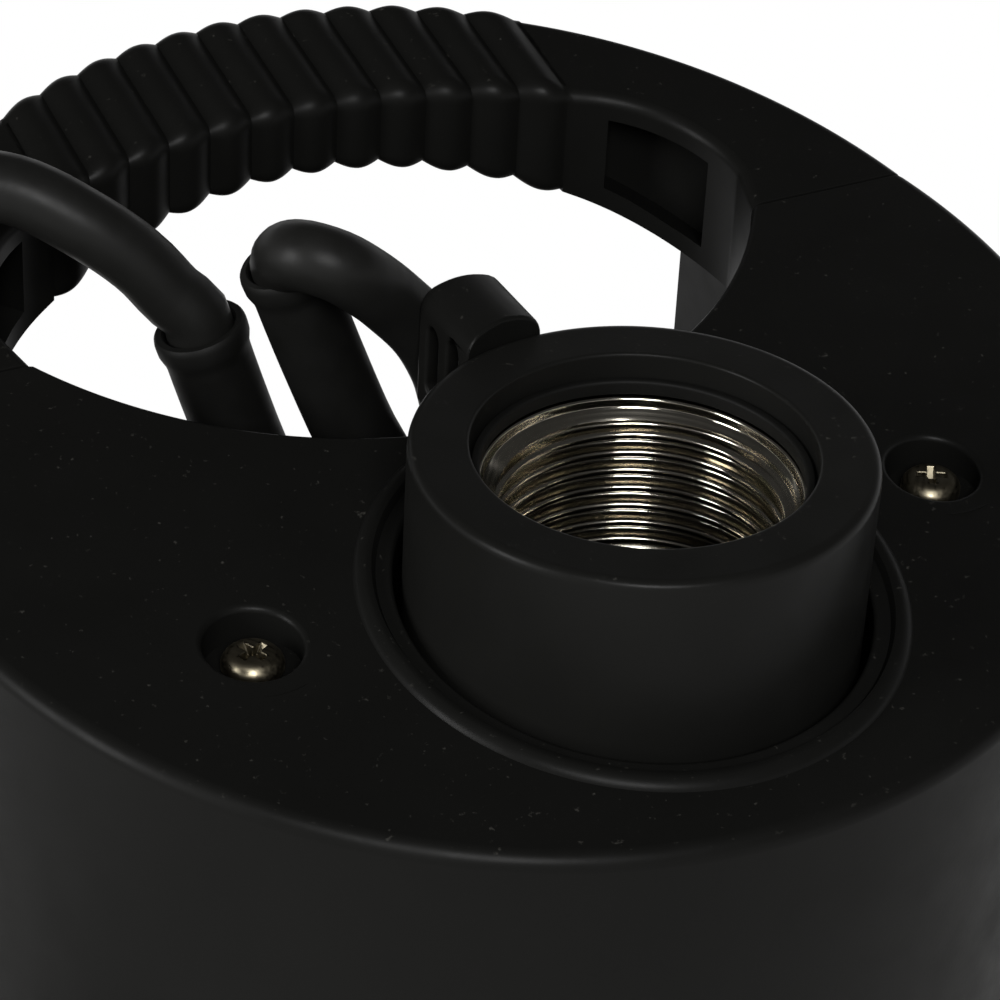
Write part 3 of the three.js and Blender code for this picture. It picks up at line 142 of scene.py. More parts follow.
FLOAT_DOWN = Vector((0, math.sin(FLOAT_LEAN), -math.cos(FLOAT_LEAN)))
FLOAT_DROP = 45.0
PLUG_RADIUS = 19.0
PLUG_LENGTH = 46.0
PLUG_FACE = PLUG_LENGTH + 14
PLUG_BACK_X = -2.0                          # back of the plug, from the coil's middle turn
PLUG_BACK_Y = 36.0
PLUG_BACK = Vector((COIL_CENTRE[0] + COIL_MID_RADIUS + PLUG_BACK_X, COIL_CENTRE[1] + PLUG_BACK_Y,
                    COIL_TOP + GAP + PLUG_RADIUS))
PLUG_NECK_RADIUS = 6.5
PLUG_NECK_LENGTH = 22.0
PIN_RADIUS = 2.4
PIN_LENGTH = 19.0
PIN_SPACING = 19.0
PIN_SOCKET_FLOOR = PLUG_LENGTH + 4
SPIGOT_LENGTH = 9.0
RISER_RING_RADIUS = 0.95
RISER_GROOVE_DEPTH = 1.9
BEAD_INNER = 28.0
BEAD_OUTER = 30.0
BEAD_HEIGHT = 1.0
INSERT_TOP = COLLAR_TOP - 4.8
INSERT_LENGTH = 20.0
INSERT_BOTTOM = INSERT_TOP - INSERT_LENGTH
INSERT_RADIUS = COLLAR_BORE - GAP
THREAD_MINOR_RADIUS = 15.15
THREAD_MAJOR_RADIUS = 16.62
THREAD_MOUTH_RADIUS = 17.02
THREAD_PITCH = 2.309
SEAL_BAND_HEIGHT = 1.7
SEAL_BAND_WIDTH = 0.9
POCKET_DEPTH = 6.0
POCKET_ROOF = 3.2
POCKET_SILL = 2.8
POCKET_START = 0.3                          # radians round the grip's corner
POCKET_END = 1.05
POCKET_INNER_X = GRIP_CORNER_X + 9.5
COUNTERBORE_RADIUS = 5.35
COUNTERBORE_DEPTH = 3.5
COUNTERBORE_FLARE = 0.7
SCREW_CUP_RADIUS = 8.0
SCREW_CUP_DEPTH = 7.0
SCREW_BOSS_RADIUS = 6.0
SCREW_HEAD_RADIUS = 3.4
SCREW_HEAD_HEIGHT = 2.2
SCREW_SHANK_RADIUS = 2.0
SCREW_LENGTH = 22.0
BASE_SCREW_LENGTH = 15.0
SCREW_HOLE_RADIUS = 2.4
SCREW_RECESS_WIDTH = 0.9
SCREW_RECESS_LENGTH = 4.0
SCREW_RECESS_DEPTH = 1.3
HANDLE_SCREW = (BODY_RADIUS - 16, 31.0)
CLIP_LEFT = -9.0
CLIP_RIGHT = 1.0
CLIP_REAR = 1.0
CLIP_BOTTOM = 5.6
CLIP_TOP = 20.6
CLIP_CROWN = 1.0
CLIP_SLOT_WIDTH = 2.6
CLIP_SLOT_HEIGHT = 9.0
CLIP_SLOT_PITCH = 4.8
CLIP_SLOT_INSET = 2.1
CLIP_STRAP_HEIGHT = 5.4
CLIP_TONGUE_REACH = 10.6
CLIP_TONGUE_THICKNESS = 1.8
MAIN_BOOT_RADIUS = 5.0
FLOAT_BOOT_RADIUS = 4.85
BOOT_LIP = 0.5
BOOT_STEP = 1.0                             # from ring to ring along a boot
CORD_START = 1.5                            # each cord begins this far inside its boot's mouth
CORD_LEAD_IN = 1.6
FOLD_SIDES = 8                              # more faces round the cord that folds tightly
BOOT_FLANGE_RADIUS = 7.8
BOOT_FLANGE_HEIGHT = 3.0
BOOT_STEM_RADIUS = 4.8
CAN_TOP = 226.0
GUIDE_X = 7.5
GUIDE_Y = BODY_RADIUS - 8
GUIDE_RADIUS = 2.2
GUIDE_HEIGHT = 5.0
SUCTION_TOP = 60.0
PLATE_BOTTOM = 4.0
PLATE_TOP = 8.0
SLOT_COUNT = 12
SLOT_WIDTH = 14.0
SLOT_BOTTOM = 13.0
SLOT_HEIGHT = 18.0
LEDGE_TOP = 34.0
LEDGE_HEIGHT = 3.0
LEDGE_WIDTH = 6.0
FOOT_RADIUS = 9.0
FOOT_CIRCLE = BODY_RADIUS - 15
BASE_BOSS_RADIUS = 5.0
WEB_THICKNESS = 3.0
FOOT_ANGLES = (45, 135, 225, 315)
FLOAT_WIDTH = 62.0
FLOAT_THICKNESS = 40.0
FLOAT_LENGTH = 96.0
FLOAT_WALL = 2.5
FLOAT_NECK_RADIUS = 7.0
FLOAT_NECK_LENGTH = 10.0


# ---------- meshes ----------

def make_object(name, vertices, faces):
    """A new object in the scene from points in millimetres."""
    mesh = bpy.data.meshes.new(name)
    mesh.from_pydata([Vector(point) * MM for point in vertices], [], faces)
    obj = bpy.data.objects.new(name, mesh)
    bpy.context.collection.objects.link(obj)
    edit_mesh(obj, weld)
    return obj


def edit_mesh(obj, change):
    """Runs a change on the object's mesh, opened for editing."""
    bm = bmesh.new()
    bm.from_mesh(obj.data)
    change(bm)
    bm.to_mesh(obj.data)
    bm.free()


def weld(bm):
    """Joins points that fall together and turns every face outward."""
    bmesh.ops.remove_doubles(bm, verts=bm.verts, dist=0.01 * MM)
    bmesh.ops.recalc_face_normals(bm, faces=bm.faces)


def drop_flat_faces(bm):
    """Drops the faces that collapse on the axis."""
    bmesh.ops.dissolve_degenerate(bm, dist=0.001 * MM, edges=bm.edges)
    bmesh.ops.recalc_face_normals(bm, faces=bm.faces)


def merge_slivers(bm):
    """Merges the slivers that a cut leaves on flat faces."""
    bmesh.ops.remove_doubles(bm, verts=bm.verts, dist=0.02 * MM)
    bmesh.ops.dissolve_limit(bm, angle_limit=math.radians(0.4), verts=bm.verts, edges=bm.edges,
                             delimit={"NORMAL"})


def round_edges(obj, width, chosen=lambda middle: True, segments=3, least_angle=35):
    """Rounds the sharp edges whose middle point, in millimetres, is chosen."""
    def bevel(bm):
        edges = [edge for edge in bm.edges
                 if len(edge.link_faces) == 2
                 and edge.calc_face_angle(0) >= math.radians(least_angle)
                 and chosen((edge.verts[0].co + edge.verts[1].co) / 2 / MM)]
        bmesh.ops.bevel(bm, geom=edges, offset=width * MM, offset_type="OFFSET",
                        segments=segments, profile=0.5, affect="EDGES", clamp_overlap=False,
                        loop_slide=True)
        bmesh.ops.remove_doubles(bm, verts=bm.verts, dist=0.01 * MM)

    edit_mesh(obj, bevel)


def shade(obj, angle):
    """Smooth shading that keeps the true edges and the flats flat."""
    obj.data.polygons.foreach_set("use_smooth", [True] * len(obj.data.polygons))
    obj.data.set_sharp_from_angle(angle=math.radians(angle))
    normals = obj.modifiers.new("flat_faces", "WEIGHTED_NORMAL")
    normals.keep_sharp = True
    normals.weight = 80


def combine(obj, other, operation):
    """Cuts or joins two closed objects; the second one is used up."""
    modifier = obj.modifiers.new(operation, "BOOLEAN")
    modifier.operation = operation
    modifier.solver = "EXACT"
    modifier.object = other
    bpy.context.view_layer.update()
    evaluated = obj.evaluated_get(bpy.context.evaluated_depsgraph_get())
    mesh = bpy.data.meshes.new_from_object(evaluated)
    obj.modifiers.clear()
    obj.data = mesh
    bpy.data.objects.remove(other)


def move(obj, place, turn=0.0, axis="Z"):
    """Turns a piece's mesh about an axis through the origin, and then shifts it."""
    obj.data.transform(Matrix.Translation(Vector(place) * MM) @ Matrix.Rotation(turn, 4, axis))
    return obj


def carve(obj, *cutters):
    """Cuts closed objects out of another, one after the other."""
    for cutter in cutters:
        combine(obj, cutter, "DIFFERENCE")
    return obj


def turned(name, profile, segments, centre=(0, 0), height=lambda x, y: 0.0):
    """A body of revolution about a vertical axis. Its profile is a closed list of (radius, z),
    and height lifts each point by a level over the plan."""
    vertices = []
    for i in range(segments):
        angle = 2 * math.pi * i / segments
        for radius, z in profile:
            x = centre[0] + radius * math.cos(angle)
            y = centre[1] + radius * math.sin(angle)
            vertices.append((x, y, z + height(x, y)))
    count = len(profile)
    faces = []
    for i in range(segments):
        here, there = i * count, (i + 1) % segments * count
        for j in range(count):
            k = (j + 1) % count
            if profile[j][0] or profile[k][0]:
                faces.append((here + j, here + k, there + k, there + j))
    obj = make_object(name, vertices, faces)
    edit_mesh(obj, drop_flat_faces)
    return obj


def rounded(profile, radius, steps=4, most=0.45):
    """The profile with each corner turned by a small curve, which takes at most a share of each
    edge. A point may carry its own radius as a third value, and a point on the axis stays."""
    points = []
    count = len(profile)
    for i in range(count):
        before = Vector(profile[i - 1][:2])
        corner = Vector(profile[i][:2])
        after = Vector(profile[(i + 1) % count][:2])
        size = profile[i][2] if len(profile[i]) > 2 else radius
        if corner.x == 0 or size == 0:
            points.append(tuple(corner))
            continue
        back = min(size, (before - corner).length * most)
        ahead = min(size, (after - corner).length * most)
        start = corner + (before - corner).normalized() * back
        end = corner + (after - corner).normalized() * ahead
        for k in range(steps + 1):
            t = k / steps
            point = start * (1 - t) ** 2 + corner * 2 * t * (1 - t) + end * t * t
            points.append(tuple(point))
    return points


def loft(name, rings):
    """A closed body through rings of points, all with the same count."""
    count = len(rings[0])
    last = (len(rings) - 1) * count
    faces = [tuple(range(count - 1, -1, -1)), tuple(range(last, last + count))]
    for ring in range(0, last, count):
        for k in range(count):
            a, b = ring + k, ring + (k + 1) % count
            faces.append((a, b, b + count, a + count))
    return make_object(name, [point for ring in rings for point in ring], faces)


def prism(name, outline, bottom, top):
    """A plan outline pulled up between two surfaces over the plan."""
    return loft(name, [[(x, y, level(x, y)) for x, y in outline] for level in (bottom, top)])


def side_prism(name, outline, y0, y1):
    """A side outline of (x, z) pulled along y."""
    return loft(name, [[(x, y, z) for x, z in outline] for y in (y0, y1)])


def block(name, x0, x1, y0, y1, z0, z1):
    """A square-edged block between two corners."""
    outline = [(x0, y0), (x1, y0), (x1, y1), (x0, y1)]
    return prism(name, outline, lambda x, y: z0, lambda x, y: z1)


def column(name, radius, z0, z1, centre, segments=64):
    """An upright round bar."""
    return turned(name, [(0, z0), (radius, z0), (radius, z1), (0, z1)], segments, centre)


def arc(cx, cy, radius, start, end, steps):
    """Points round part of a circle, in the plan or in a profile."""
    angles = [start + (end - start) * i / steps for i in range(steps + 1)]
    return [(cx + radius * math.cos(a), cy + radius * math.sin(a)) for a in angles]


def smooth_path(points, spacing, steps=24):
    """Evenly spaced points on the centripetal spline through the given ones."""
    knots = [Vector(point) for point in points]
    knots = [2 * knots[0] - knots[1]] + knots + [2 * knots[-1] - knots[-2]]
    dense = []
    for i in range(1, len(knots) - 2):
        p = knots[i - 1:i + 3]
        t = [0.0]
        for a, b in zip(p, p[1:]):
            t.append(t[-1] + math.sqrt((b - a).length))
        for k in range(steps):
            s = t[1] + (t[2] - t[1]) * k / steps
            a1 = p[0].lerp(p[1], (s - t[0]) / (t[1] - t[0]))
            a2 = p[1].lerp(p[2], (s - t[1]) / (t[2] - t[1]))
            a3 = p[2].lerp(p[3], (s - t[2]) / (t[3] - t[2]))
            b1 = a1.lerp(a2, (s - t[0]) / (t[2] - t[0]))
            b2 = a2.lerp(a3, (s - t[1]) / (t[3] - t[1]))
            dense.append(b1.lerp(b2, (s - t[1]) / (t[2] - t[1])))
    dense.append(knots[-2])
    return evenly(dense, spacing)


def evenly(dense, spacing):
    """Points along a line at equal distances, about one spacing apart."""
    lengths = [0.0]
    for a, b in zip(dense, dense[1:]):
        lengths.append(lengths[-1] + (b - a).length)
    count = max(2, round(lengths[-1] / spacing))
    result = []
    j = 0
    for i in range(count + 1):
        target = lengths[-1] * i / count
        while j < len(lengths) - 2 and lengths[j + 1] < target:
            j += 1
        span = lengths[j + 1] - lengths[j]
        result.append(dense[j].lerp(dense[j + 1], (target - lengths[j]) / span if span else 0))
    return result


def path_length(path):
    """The way along a line of points."""
    return sum((b - a).length for a, b in zip(path, path[1:]))


def path_frames(path):
    """The distance, point, side and other side at each point of a path, without twist."""
    tangents = []
    for i in range(len(path)):
        tangents.append((path[min(i + 1, len(path) - 1)] - path[max(i - 1, 0)]).normalized())
    side = tangents[0].orthogonal().normalized()
    travelled = 0.0
    frames = []
    for i, point in enumerate(path):
        if i:
            side = tangents[i - 1].rotation_difference(tangents[i]) @ side
            travelled += (point - path[i - 1]).length
        side = (side - tangents[i] * side.dot(tangents[i])).normalized()
        frames.append((travelled, point, side, tangents[i].cross(side)))
    return frames


def frame_at(frames, distance):
    """The frame between the two nearest ones; before the first or after the last, the end's own."""
    for before, after in zip(frames, frames[1:]):
        if distance <= after[0]:
            share = max(0.0, (distance - before[0]) / (after[0] - before[0]))
            return [before[k].lerp(after[k], share) for k in (1, 2, 3)]
    return list(frames[-1][1:])


def sweep(name, path, stations, sides, radius=1.0):
    """A closed tube along a path. Its stations are (distance, radius) and may turn back,
    as at the mouth of a sleeve; without them it has one radius from end to end."""
    frames = path_frames(path)
    if stations:
        rings = [(*frame_at(frames, distance), r) for distance, r in stations]
    else:
        rings = [(*frame[1:], radius) for frame in frames]
    turns = [2 * math.pi * k / sides for k in range(sides)]
    return loft(name, [[point + (side * math.cos(turn) + other * math.sin(turn)) * r
                        for turn in turns] for point, side, other, r in rings])


# ---------- surfaces of the top ----------

def cover_top(x, y):
    """The plate's slope in front of the joint."""
    return PLATE_LEVEL + COVER_SLOPE * (y - OUTLET_Y)


def handle_top(x, y):
    """The steeper slope over the handle."""
    return cover_top(0, SEAM_Y) + HANDLE_SLOPE * (y - SEAM_Y)


def arch_level(x):
    """The grip's arched underside."""
    return PLATE_LEVEL + ARCH_TOP - (ARCH_RADIUS - math.sqrt(ARCH_RADIUS**2 - x * x))


def footing(x, y):
    """What stands on the deck begins here."""
    return DECK_LEVEL + GAP


# ---------- materials ----------

def linear(hex_colour):
    """An sRGB hex value as the linear colour that a shader takes."""
    channels = [int(hex_colour[i:i + 2], 16) / 255 for i in (1, 3, 5)]
    curve = (c / 12.92 if c <= 0.04045 else ((c + 0.055) / 1.055) ** 2.4 for c in channels)
    return (*curve, 1.0)


def shades(colour, low, high):
    """Two tones of a linear colour, one darker and one lighter."""
    return tuple(tuple(c * factor for c in colour[:3]) + (1.0,) for factor in (low, high))


def hexes(first, second):
    """Two tones from their sRGB hex values."""
    return linear(first), linear(second)


def add_node(tree, kind, settings=None, output=None, **inputs):
    """One node with its settings and links. It gives the node, or the output that is asked for.
    An input takes a value or another node's output, and i0, i1 and so on stand for its place."""
    node = tree.nodes.new(kind)
    for key, value in (settings or {}).items():
        setattr(node, key, value)
    for key, value in inputs.items():
        place = int(key[1:]) if key[1:].isdigit() else key.replace("_", " ")
        if isinstance(value, bpy.types.NodeSocket):
            tree.links.new(value, node.inputs[place])
        else:
            node.inputs[place].default_value = value
    return node if output is None else node.outputs[output]


def blotches(tree, size_mm, detail, stretch=None):
    """A pattern whose blotches are about size_mm across and stay in place on the piece."""
    point = add_node(tree, "ShaderNodeTexCoord", None, "Object")
    if stretch:
        point = add_node(tree, "ShaderNodeMapping", None, "Vector", Vector=point, Scale=stretch)
    return add_node(tree, "ShaderNodeTexNoise", None, "Fac", Vector=point, Roughness=0.55,
                    Scale=1 / (size_mm * MM), Detail=detail)


def facing_up(tree):
    """1 where the surface looks up, 0 where it looks sideways or down."""
    normal = add_node(tree, "ShaderNodeNewGeometry", None, "Normal")
    upward = add_node(tree, "ShaderNodeSeparateXYZ", None, "Z", Vector=normal)
    return add_node(tree, "ShaderNodeMapRange", None, "Result", Value=upward, i1=0.5, i2=1.0)


def seen_directly(tree):
    """1 for the camera, a reflection and a view through glass, 0 where light is gathered."""
    rays = add_node(tree, "ShaderNodeLightPath").outputs
    seen = rays["Is Camera Ray"]
    for ray in ("Is Glossy Ray", "Is Transmission Ray"):
        seen = add_node(tree, "ShaderNodeMath", {"operation": "MAXIMUM"}, 0,
                        i0=seen, i1=rays[ray])
    return seen


def skin(tree, mottle, tones, gloss=None, roughness=None, bumps=None, **inputs):
    """A surface's shader. Its colour runs between two tones with the mottle, and its roughness
    between two values with the middle of the gloss pattern. Bumps are a pattern with its depth
    in millimetres and its strength."""
    inputs["Base_Color"] = add_node(tree, "ShaderNodeMix", {"data_type": "RGBA"}, 2,
                                    i0=mottle, i6=tones[0], i7=tones[1])
    if gloss:
        inputs["Roughness"] = add_node(tree, "ShaderNodeMapRange", None, "Result", Value=gloss,
                                       i1=0.3, i2=0.7, i3=roughness[0], i4=roughness[1])
    if bumps:
        height, depth_mm, strength = bumps
        inputs["Normal"] = add_node(tree, "ShaderNodeBump", None, "Normal", Height=height,
                                    Distance=depth_mm * MM, Strength=strength)
    return add_node(tree, "ShaderNodeBsdfPrincipled", None, "BSDF", **inputs)


def moulded_polypropylene(tree, tones, dust, roughness=(0.33, 0.45)):
    """Filled polypropylene out of a fine spark-eroded mould: a soft broad sheen, broken by the
    mould's tooth, and a little pale dust where it faces up. The real tooth is finer than a tenth
    of a millimetre, and it is drawn at 0.45 mm so that it shows."""
    plain = add_node(tree, "ShaderNodeMix", {"data_type": "RGBA"}, 2,
                     i0=blotches(tree, 22, 3), i6=tones[0], i7=tones[1])
    speck = add_node(tree, "ShaderNodeMapRange", None, "Result", Value=blotches(tree, 0.9, 4),
                     i1=0.66, i2=0.78)
    for share in (facing_up(tree), dust):
        speck = add_node(tree, "ShaderNodeMath", {"operation": "MULTIPLY"}, 0, i0=speck, i1=share)
    return skin(tree, speck, (plain, linear("#8a8880")), blotches(tree, 7, 3), roughness,
                (blotches(tree, 0.45, 2), 0.012, 0.55), IOR=1.49, Specular_IOR_Level=0.06)


def extruded_rubber(tree, tones, roughness):
    """Chloroprene rubber sheath drawn through a die: soft sheen with faint scuffs and bloom."""
    return skin(tree, blotches(tree, 9, 4), tones, blotches(tree, 3.5, 4), roughness,
                (blotches(tree, 0.8, 3), 0.02, 0.5), IOR=1.5, Specular_IOR_Level=0.1)


def machined_metal(tree, tones, roughness, ring_mm, centre=(0.0, 0.0)):
    """Metal turned on a lathe and plated: rings left by the tool catch the light. The rings are
    ring_mm apart, coarser than the real feed, so that they show."""
    point = add_node(tree, "ShaderNodeTexCoord", None, "Object")
    point = add_node(tree, "ShaderNodeVectorMath", {"operation": "ADD"}, "Vector", i0=point,
                     i1=(-centre[0] * MM, -centre[1] * MM, 0.0))
    split = add_node(tree, "ShaderNodeSeparateXYZ", Vector=point).outputs
    flat = add_node(tree, "ShaderNodeCombineXYZ", None, "Vector", X=split["X"], Y=split["Y"])
    radius = add_node(tree, "ShaderNodeVectorMath", {"operation": "LENGTH"}, "Value", i0=flat)
    line = add_node(tree, "ShaderNodeCombineXYZ", None, "Vector", X=radius, Y=split["Z"])
    rings = add_node(tree, "ShaderNodeTexNoise", None, "Fac", Vector=line,
                     Scale=1 / (ring_mm * MM), Detail=3.0)
    return skin(tree, blotches(tree, 5, 4), tones, rings, roughness, (rings, 0.012, 0.5),
                Metallic=1.0)


def cast_metal(tree, tones, roughness):
    """Aluminium poured into a die: matt, with a pebbled skin."""
    return skin(tree, blotches(tree, 6, 4), tones, blotches(tree, 3, 3), roughness,
                (blotches(tree, 1.2, 4), 0.05, 0.6), Metallic=1.0)


def wound_copper(tree):
    """Enamelled copper wire, bandaged: amber varnish over close turns 0.6 mm apart."""
    turns = blotches(tree, 0.6, 2, (1.0, 1.0, 0.15))
    return skin(tree, turns, hexes("#7a3d18", "#b8703a"), bumps=(turns, 0.12, 0.8),
                Metallic=0.85, Roughness=0.38)


def sheet_stack(tree):
    """Varnished electrical steel sheets, 0.5 mm thick, stacked along the shaft."""
    sheets = blotches(tree, 0.5, 1, (0.02, 0.02, 1.0))
    return skin(tree, sheets, hexes("#4a4c50", "#74777c"), bumps=(sheets, 0.05, 0.7),
                Metallic=0.9, Roughness=0.5)


def sintered_ceramic(tree):
    """Lapped alumina: off-white, dense and smooth, with a faint mottle."""
    return skin(tree, blotches(tree, 1.5, 3), hexes("#d6cfbf", "#e8e3d6"), blotches(tree, 4, 2),
                (0.18, 0.3), IOR=1.76)


def pale_floor(tree):
    """Matt painted board that fades into a white backdrop away from the object."""
    board = skin(tree, blotches(tree, 60, 3), hexes("#e6e5e1", "#ecebe8"), Roughness=0.9)
    position = add_node(tree, "ShaderNodeNewGeometry", None, "Position")
    distance = add_node(tree, "ShaderNodeVectorMath", {"operation": "LENGTH"}, "Value", i0=position)
    fade = add_node(tree, "ShaderNodeMapRange", {"interpolation_type": "SMOOTHSTEP"}, "Result",
                    Value=distance, i1=FLOOR_FADE_START, i2=FLOOR_FADE_END)
    share = add_node(tree, "ShaderNodeMath", {"operation": "MULTIPLY"}, 0,
                     i0=seen_directly(tree), i1=fade)
    white = add_node(tree, "ShaderNodeEmission", None, "Emission", Color=(1.0, 1.0, 1.0, 1.0),
                     Strength=1.0)
    return add_node(tree, "ShaderNodeMixShader", None, "Shader", Fac=share, i1=board, i2=white)


MATERIALS = {}


def finish_material(name):
    """The named finish, made on first use."""
    if name in MATERIALS:
        return MATERIALS[name]
    picked = bpy.context.scene.pump_colours
    surfaces = {
        "black_plastic": (moulded_polypropylene, shades(picked.housing, 0.75, 1.1), 0.1),
        "collar_plastic": (
            moulded_polypropylene, shades(picked.housing, 0.9, 1.35), 0.08, (0.3, 0.42)),
        "orange_plastic": (
            moulded_polypropylene, shades(picked.floater, 0.9, 1.08), 0.1, (0.3, 0.42)),
        "white_nylon": (moulded_polypropylene, hexes("#cfcfc8", "#dcdcd6"), 0.0),
        "sleeve_rubber": (extruded_rubber, hexes("#090908", "#0e0e0d"), (0.5, 0.65)),
        "cord_rubber": (extruded_rubber, hexes("#0f0f0e", "#161615"), (0.36, 0.5)),
        "nickel": (
            machined_metal, shades(picked.metal, 0.4, 1.05), (0.08, 0.2), 0.35, (0.0, OUTLET_Y)),
        "plug_nickel": (machined_metal, hexes("#cfcabd", "#e0dccf"), (0.16, 0.28), 0.4),
        "yellow_zinc": (machined_metal, hexes("#4a4436", "#8b8472"), (0.26, 0.46), 0.5),
        "stainless": (machined_metal, hexes("#a4a6a8", "#b8babc"), (0.22, 0.36), 0.4),
        "turned_brass": (machined_metal, hexes("#a8833a", "#c09a50"), (0.2, 0.34), 0.4),
        "cast_aluminium": (cast_metal, hexes("#85878a", "#9c9ea1"), (0.45, 0.6)),
        "laminations": (sheet_stack,),
        "copper_winding": (wound_copper,),
        "ceramic": (sintered_ceramic,),
        "floor_board": (pale_floor,),
    }
    maker, *values = surfaces[name]
    material = MATERIALS[name] = bpy.data.materials.new(name)
    material.use_nodes = True
    tree = material.node_tree
    tree.nodes.clear()
    add_node(tree, "ShaderNodeOutputMaterial", Surface=maker(tree, *values))
    return material


INNER_FINISHES = {
    "sleeve_rubber": ("riser_ring",),
    "stainless": (
        "wear_plate", "motor_can", "bearing_lower", "bearing_upper", "shaft", "float_ball"),
    "black_plastic": ("impeller", "diffuser"),
    "turned_brass": ("impeller_nut",),
    "cast_aluminium": ("seal_carrier", "motor_cap", "bearing_bracket"),
    "ceramic": ("seal_ring", "seal_seat"),
    "laminations": ("rotor_core", "stator_core"),
    "copper_winding": ("winding_lower", "winding_upper"),
    "white_nylon": ("capacitor", "terminal_block"),
    "yellow_zinc": (
        "handle_screw_left", "handle_screw_right",
        "base_screw_1", "base_screw_2", "base_screw_3", "base_screw_4"),
}


def finish_piece(obj, finish, replaced, body="pump", angle=35):
    """Shades a piece, gives it its material and lets it stand for its CAD node."""
    shade(obj, angle)
    obj.data.materials.clear()
    obj.data.materials.append(finish_material(finish))
    if body:
        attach(obj, body)
    if replaced:
        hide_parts(*replaced)
    return obj


# ---------- top cover ----------

def cover_plan(inset, steps=180):
    """Plan of the cover, drawn in by inset all round: a disc less the hand opening."""
    outer = BODY_RADIUS - inset
    inner = OPENING_RADIUS + inset
    seam = SEAM_Y - GAP / 2 - inset
    start = math.asin(seam / outer)
    mouth = math.asin((seam - OPENING_CENTRE_Y) / inner)
    return (arc(0, 0, outer, math.pi - start, 2 * math.pi + start, steps)
            + arc(0, OPENING_CENTRE_Y, inner, mouth, -math.pi - mouth, steps // 2))


def on_body_rim(point):
    """Whether a point is on the upright side of the pump."""
    return abs(math.hypot(point.x, point.y) - BODY_RADIUS) < 0.3


def at_level(point, surface, reach=0.2):
    """Whether a point is within reach of a surface over the plan."""
    return abs(point.z - surface(point.x, point.y)) < reach


def on_opening_edge(point):
    """Whether a point is on the edge of the hand opening."""
    return abs(math.hypot(point.x, point.y - OPENING_CENTRE_Y) - OPENING_RADIUS) < 0.2


def flared_hole(name, centre, radius, floor, flare, surface):
    """A cutter for a blind or through hole whose mouth is rounded where it meets the surface."""
    level = surface(*centre)
    mouth = arc(radius + flare, level - flare, flare, math.pi, math.pi / 2, 6)
    profile = [(0, floor), (radius, floor), *mouth, (radius + flare, level + 4), (0, level + 4)]
    cutter = turned(name, profile, 128, centre)
    for vertex in cutter.data.vertices:
        x, y, z = vertex.co / MM
        if z > level - flare - 0.01:
            vertex.co.z = (z + surface(x, y) - level) * MM
    return cutter


def top_cover_piece(rim_radius):
    """Plate and side wall in one, with the screw wells, and the bead round the outlet."""
    cover = prism("top_cover_moulding", cover_plan(0), footing, cover_top)
    carve(cover, prism("hollow", cover_plan(WALL), lambda x, y: DECK_LEVEL - 1,
                       lambda x, y: cover_top(x, y) - PLATE_THICKNESS))
    edit_mesh(cover, merge_slivers)
    round_edges(cover, rim_radius, lambda p: on_body_rim(p) and at_level(p, cover_top), 4)
    round_edges(cover, OPENING_ROUNDING,
                lambda p: on_opening_edge(p) and at_level(p, cover_top), 3)
    round_edges(cover, JOINT_ROUNDING,
                lambda p: at_level(p, cover_top, 1.0) and p.y > SEAM_Y - JOINT_REACH, 2)
    for side in (-1, 1):
        centre = (side * COVER_SCREW[0], COVER_SCREW[1])
        top = cover_top(*centre)
        cup = column("cup", SCREW_CUP_RADIUS, top - SCREW_CUP_DEPTH, top - 1, centre)
        combine(cover, cup, "UNION")
        carve(cover,
              flared_hole("counterbore", centre, COUNTERBORE_RADIUS, top - COUNTERBORE_DEPTH,
                          COUNTERBORE_FLARE, cover_top),
              column("hole", SCREW_HOLE_RADIUS, top - SCREW_CUP_DEPTH - THROUGH, top + THROUGH,
                     centre))
    carve(cover, flared_hole("well", (0, OUTLET_Y), PLATE_HOLE_RADIUS, DECK_LEVEL - THROUGH,
                             PLATE_HOLE_FLARE, cover_top))
    bead = [(BEAD_INNER - 0.3, -0.5), (BEAD_INNER - 0.1, 0.2), (BEAD_INNER + 0.3, 0.85),
            (BEAD_INNER + 0.8, BEAD_HEIGHT), (BEAD_OUTER - 0.7, BEAD_HEIGHT - 0.05),
            (BEAD_OUTER - 0.1, 0.6), (BEAD_OUTER + 0.3, 0.1), (BEAD_OUTER + 0.4, -0.5)]
    ring = turned("cover_bead", bead, 192, (0, OUTLET_Y), cover_top)
    return cover, ring


# ---------- handle ----------

def grip_inner_edge():
    """Half of the hand opening's rear edge, from the joint round the corner to the middle."""
    corner = arc(*GRIP_CORNER, GRIP_CORNER_RADIUS, 0, GRIP_CORNER_SWEEP, 30)
    end = corner[-1]
    angle = math.atan2(end[1] - GRIP_REAR_CENTRE_Y, end[0])
    rear = arc(0, GRIP_REAR_CENTRE_Y, GRIP_REAR_RADIUS, angle, math.pi / 2, 20)[1:]
    return [(MOUTH_X, SEAM_Y + GAP / 2)] + corner + rear


def handle_plan():
    """The handle's outline: the body's rim behind the joint, less the hand opening."""
    start = math.asin((SEAM_Y + GAP / 2) / BODY_RADIUS)
    inner = grip_inner_edge()
    return (arc(0, 0, BODY_RADIUS, start, math.pi - start, 130)
            + [(-x, y) for x, y in inner] + inner[:-1][::-1])


def arch_side(half_width, steps=48):
    """The gap under the grip, seen along y."""
    across = [half_width * (1 - 2 * i / steps) for i in range(steps + 1)]
    return [(half_width, DECK_LEVEL - THROUGH), *((x, arch_level(x)) for x in across),
            (-half_width, DECK_LEVEL - THROUGH)]


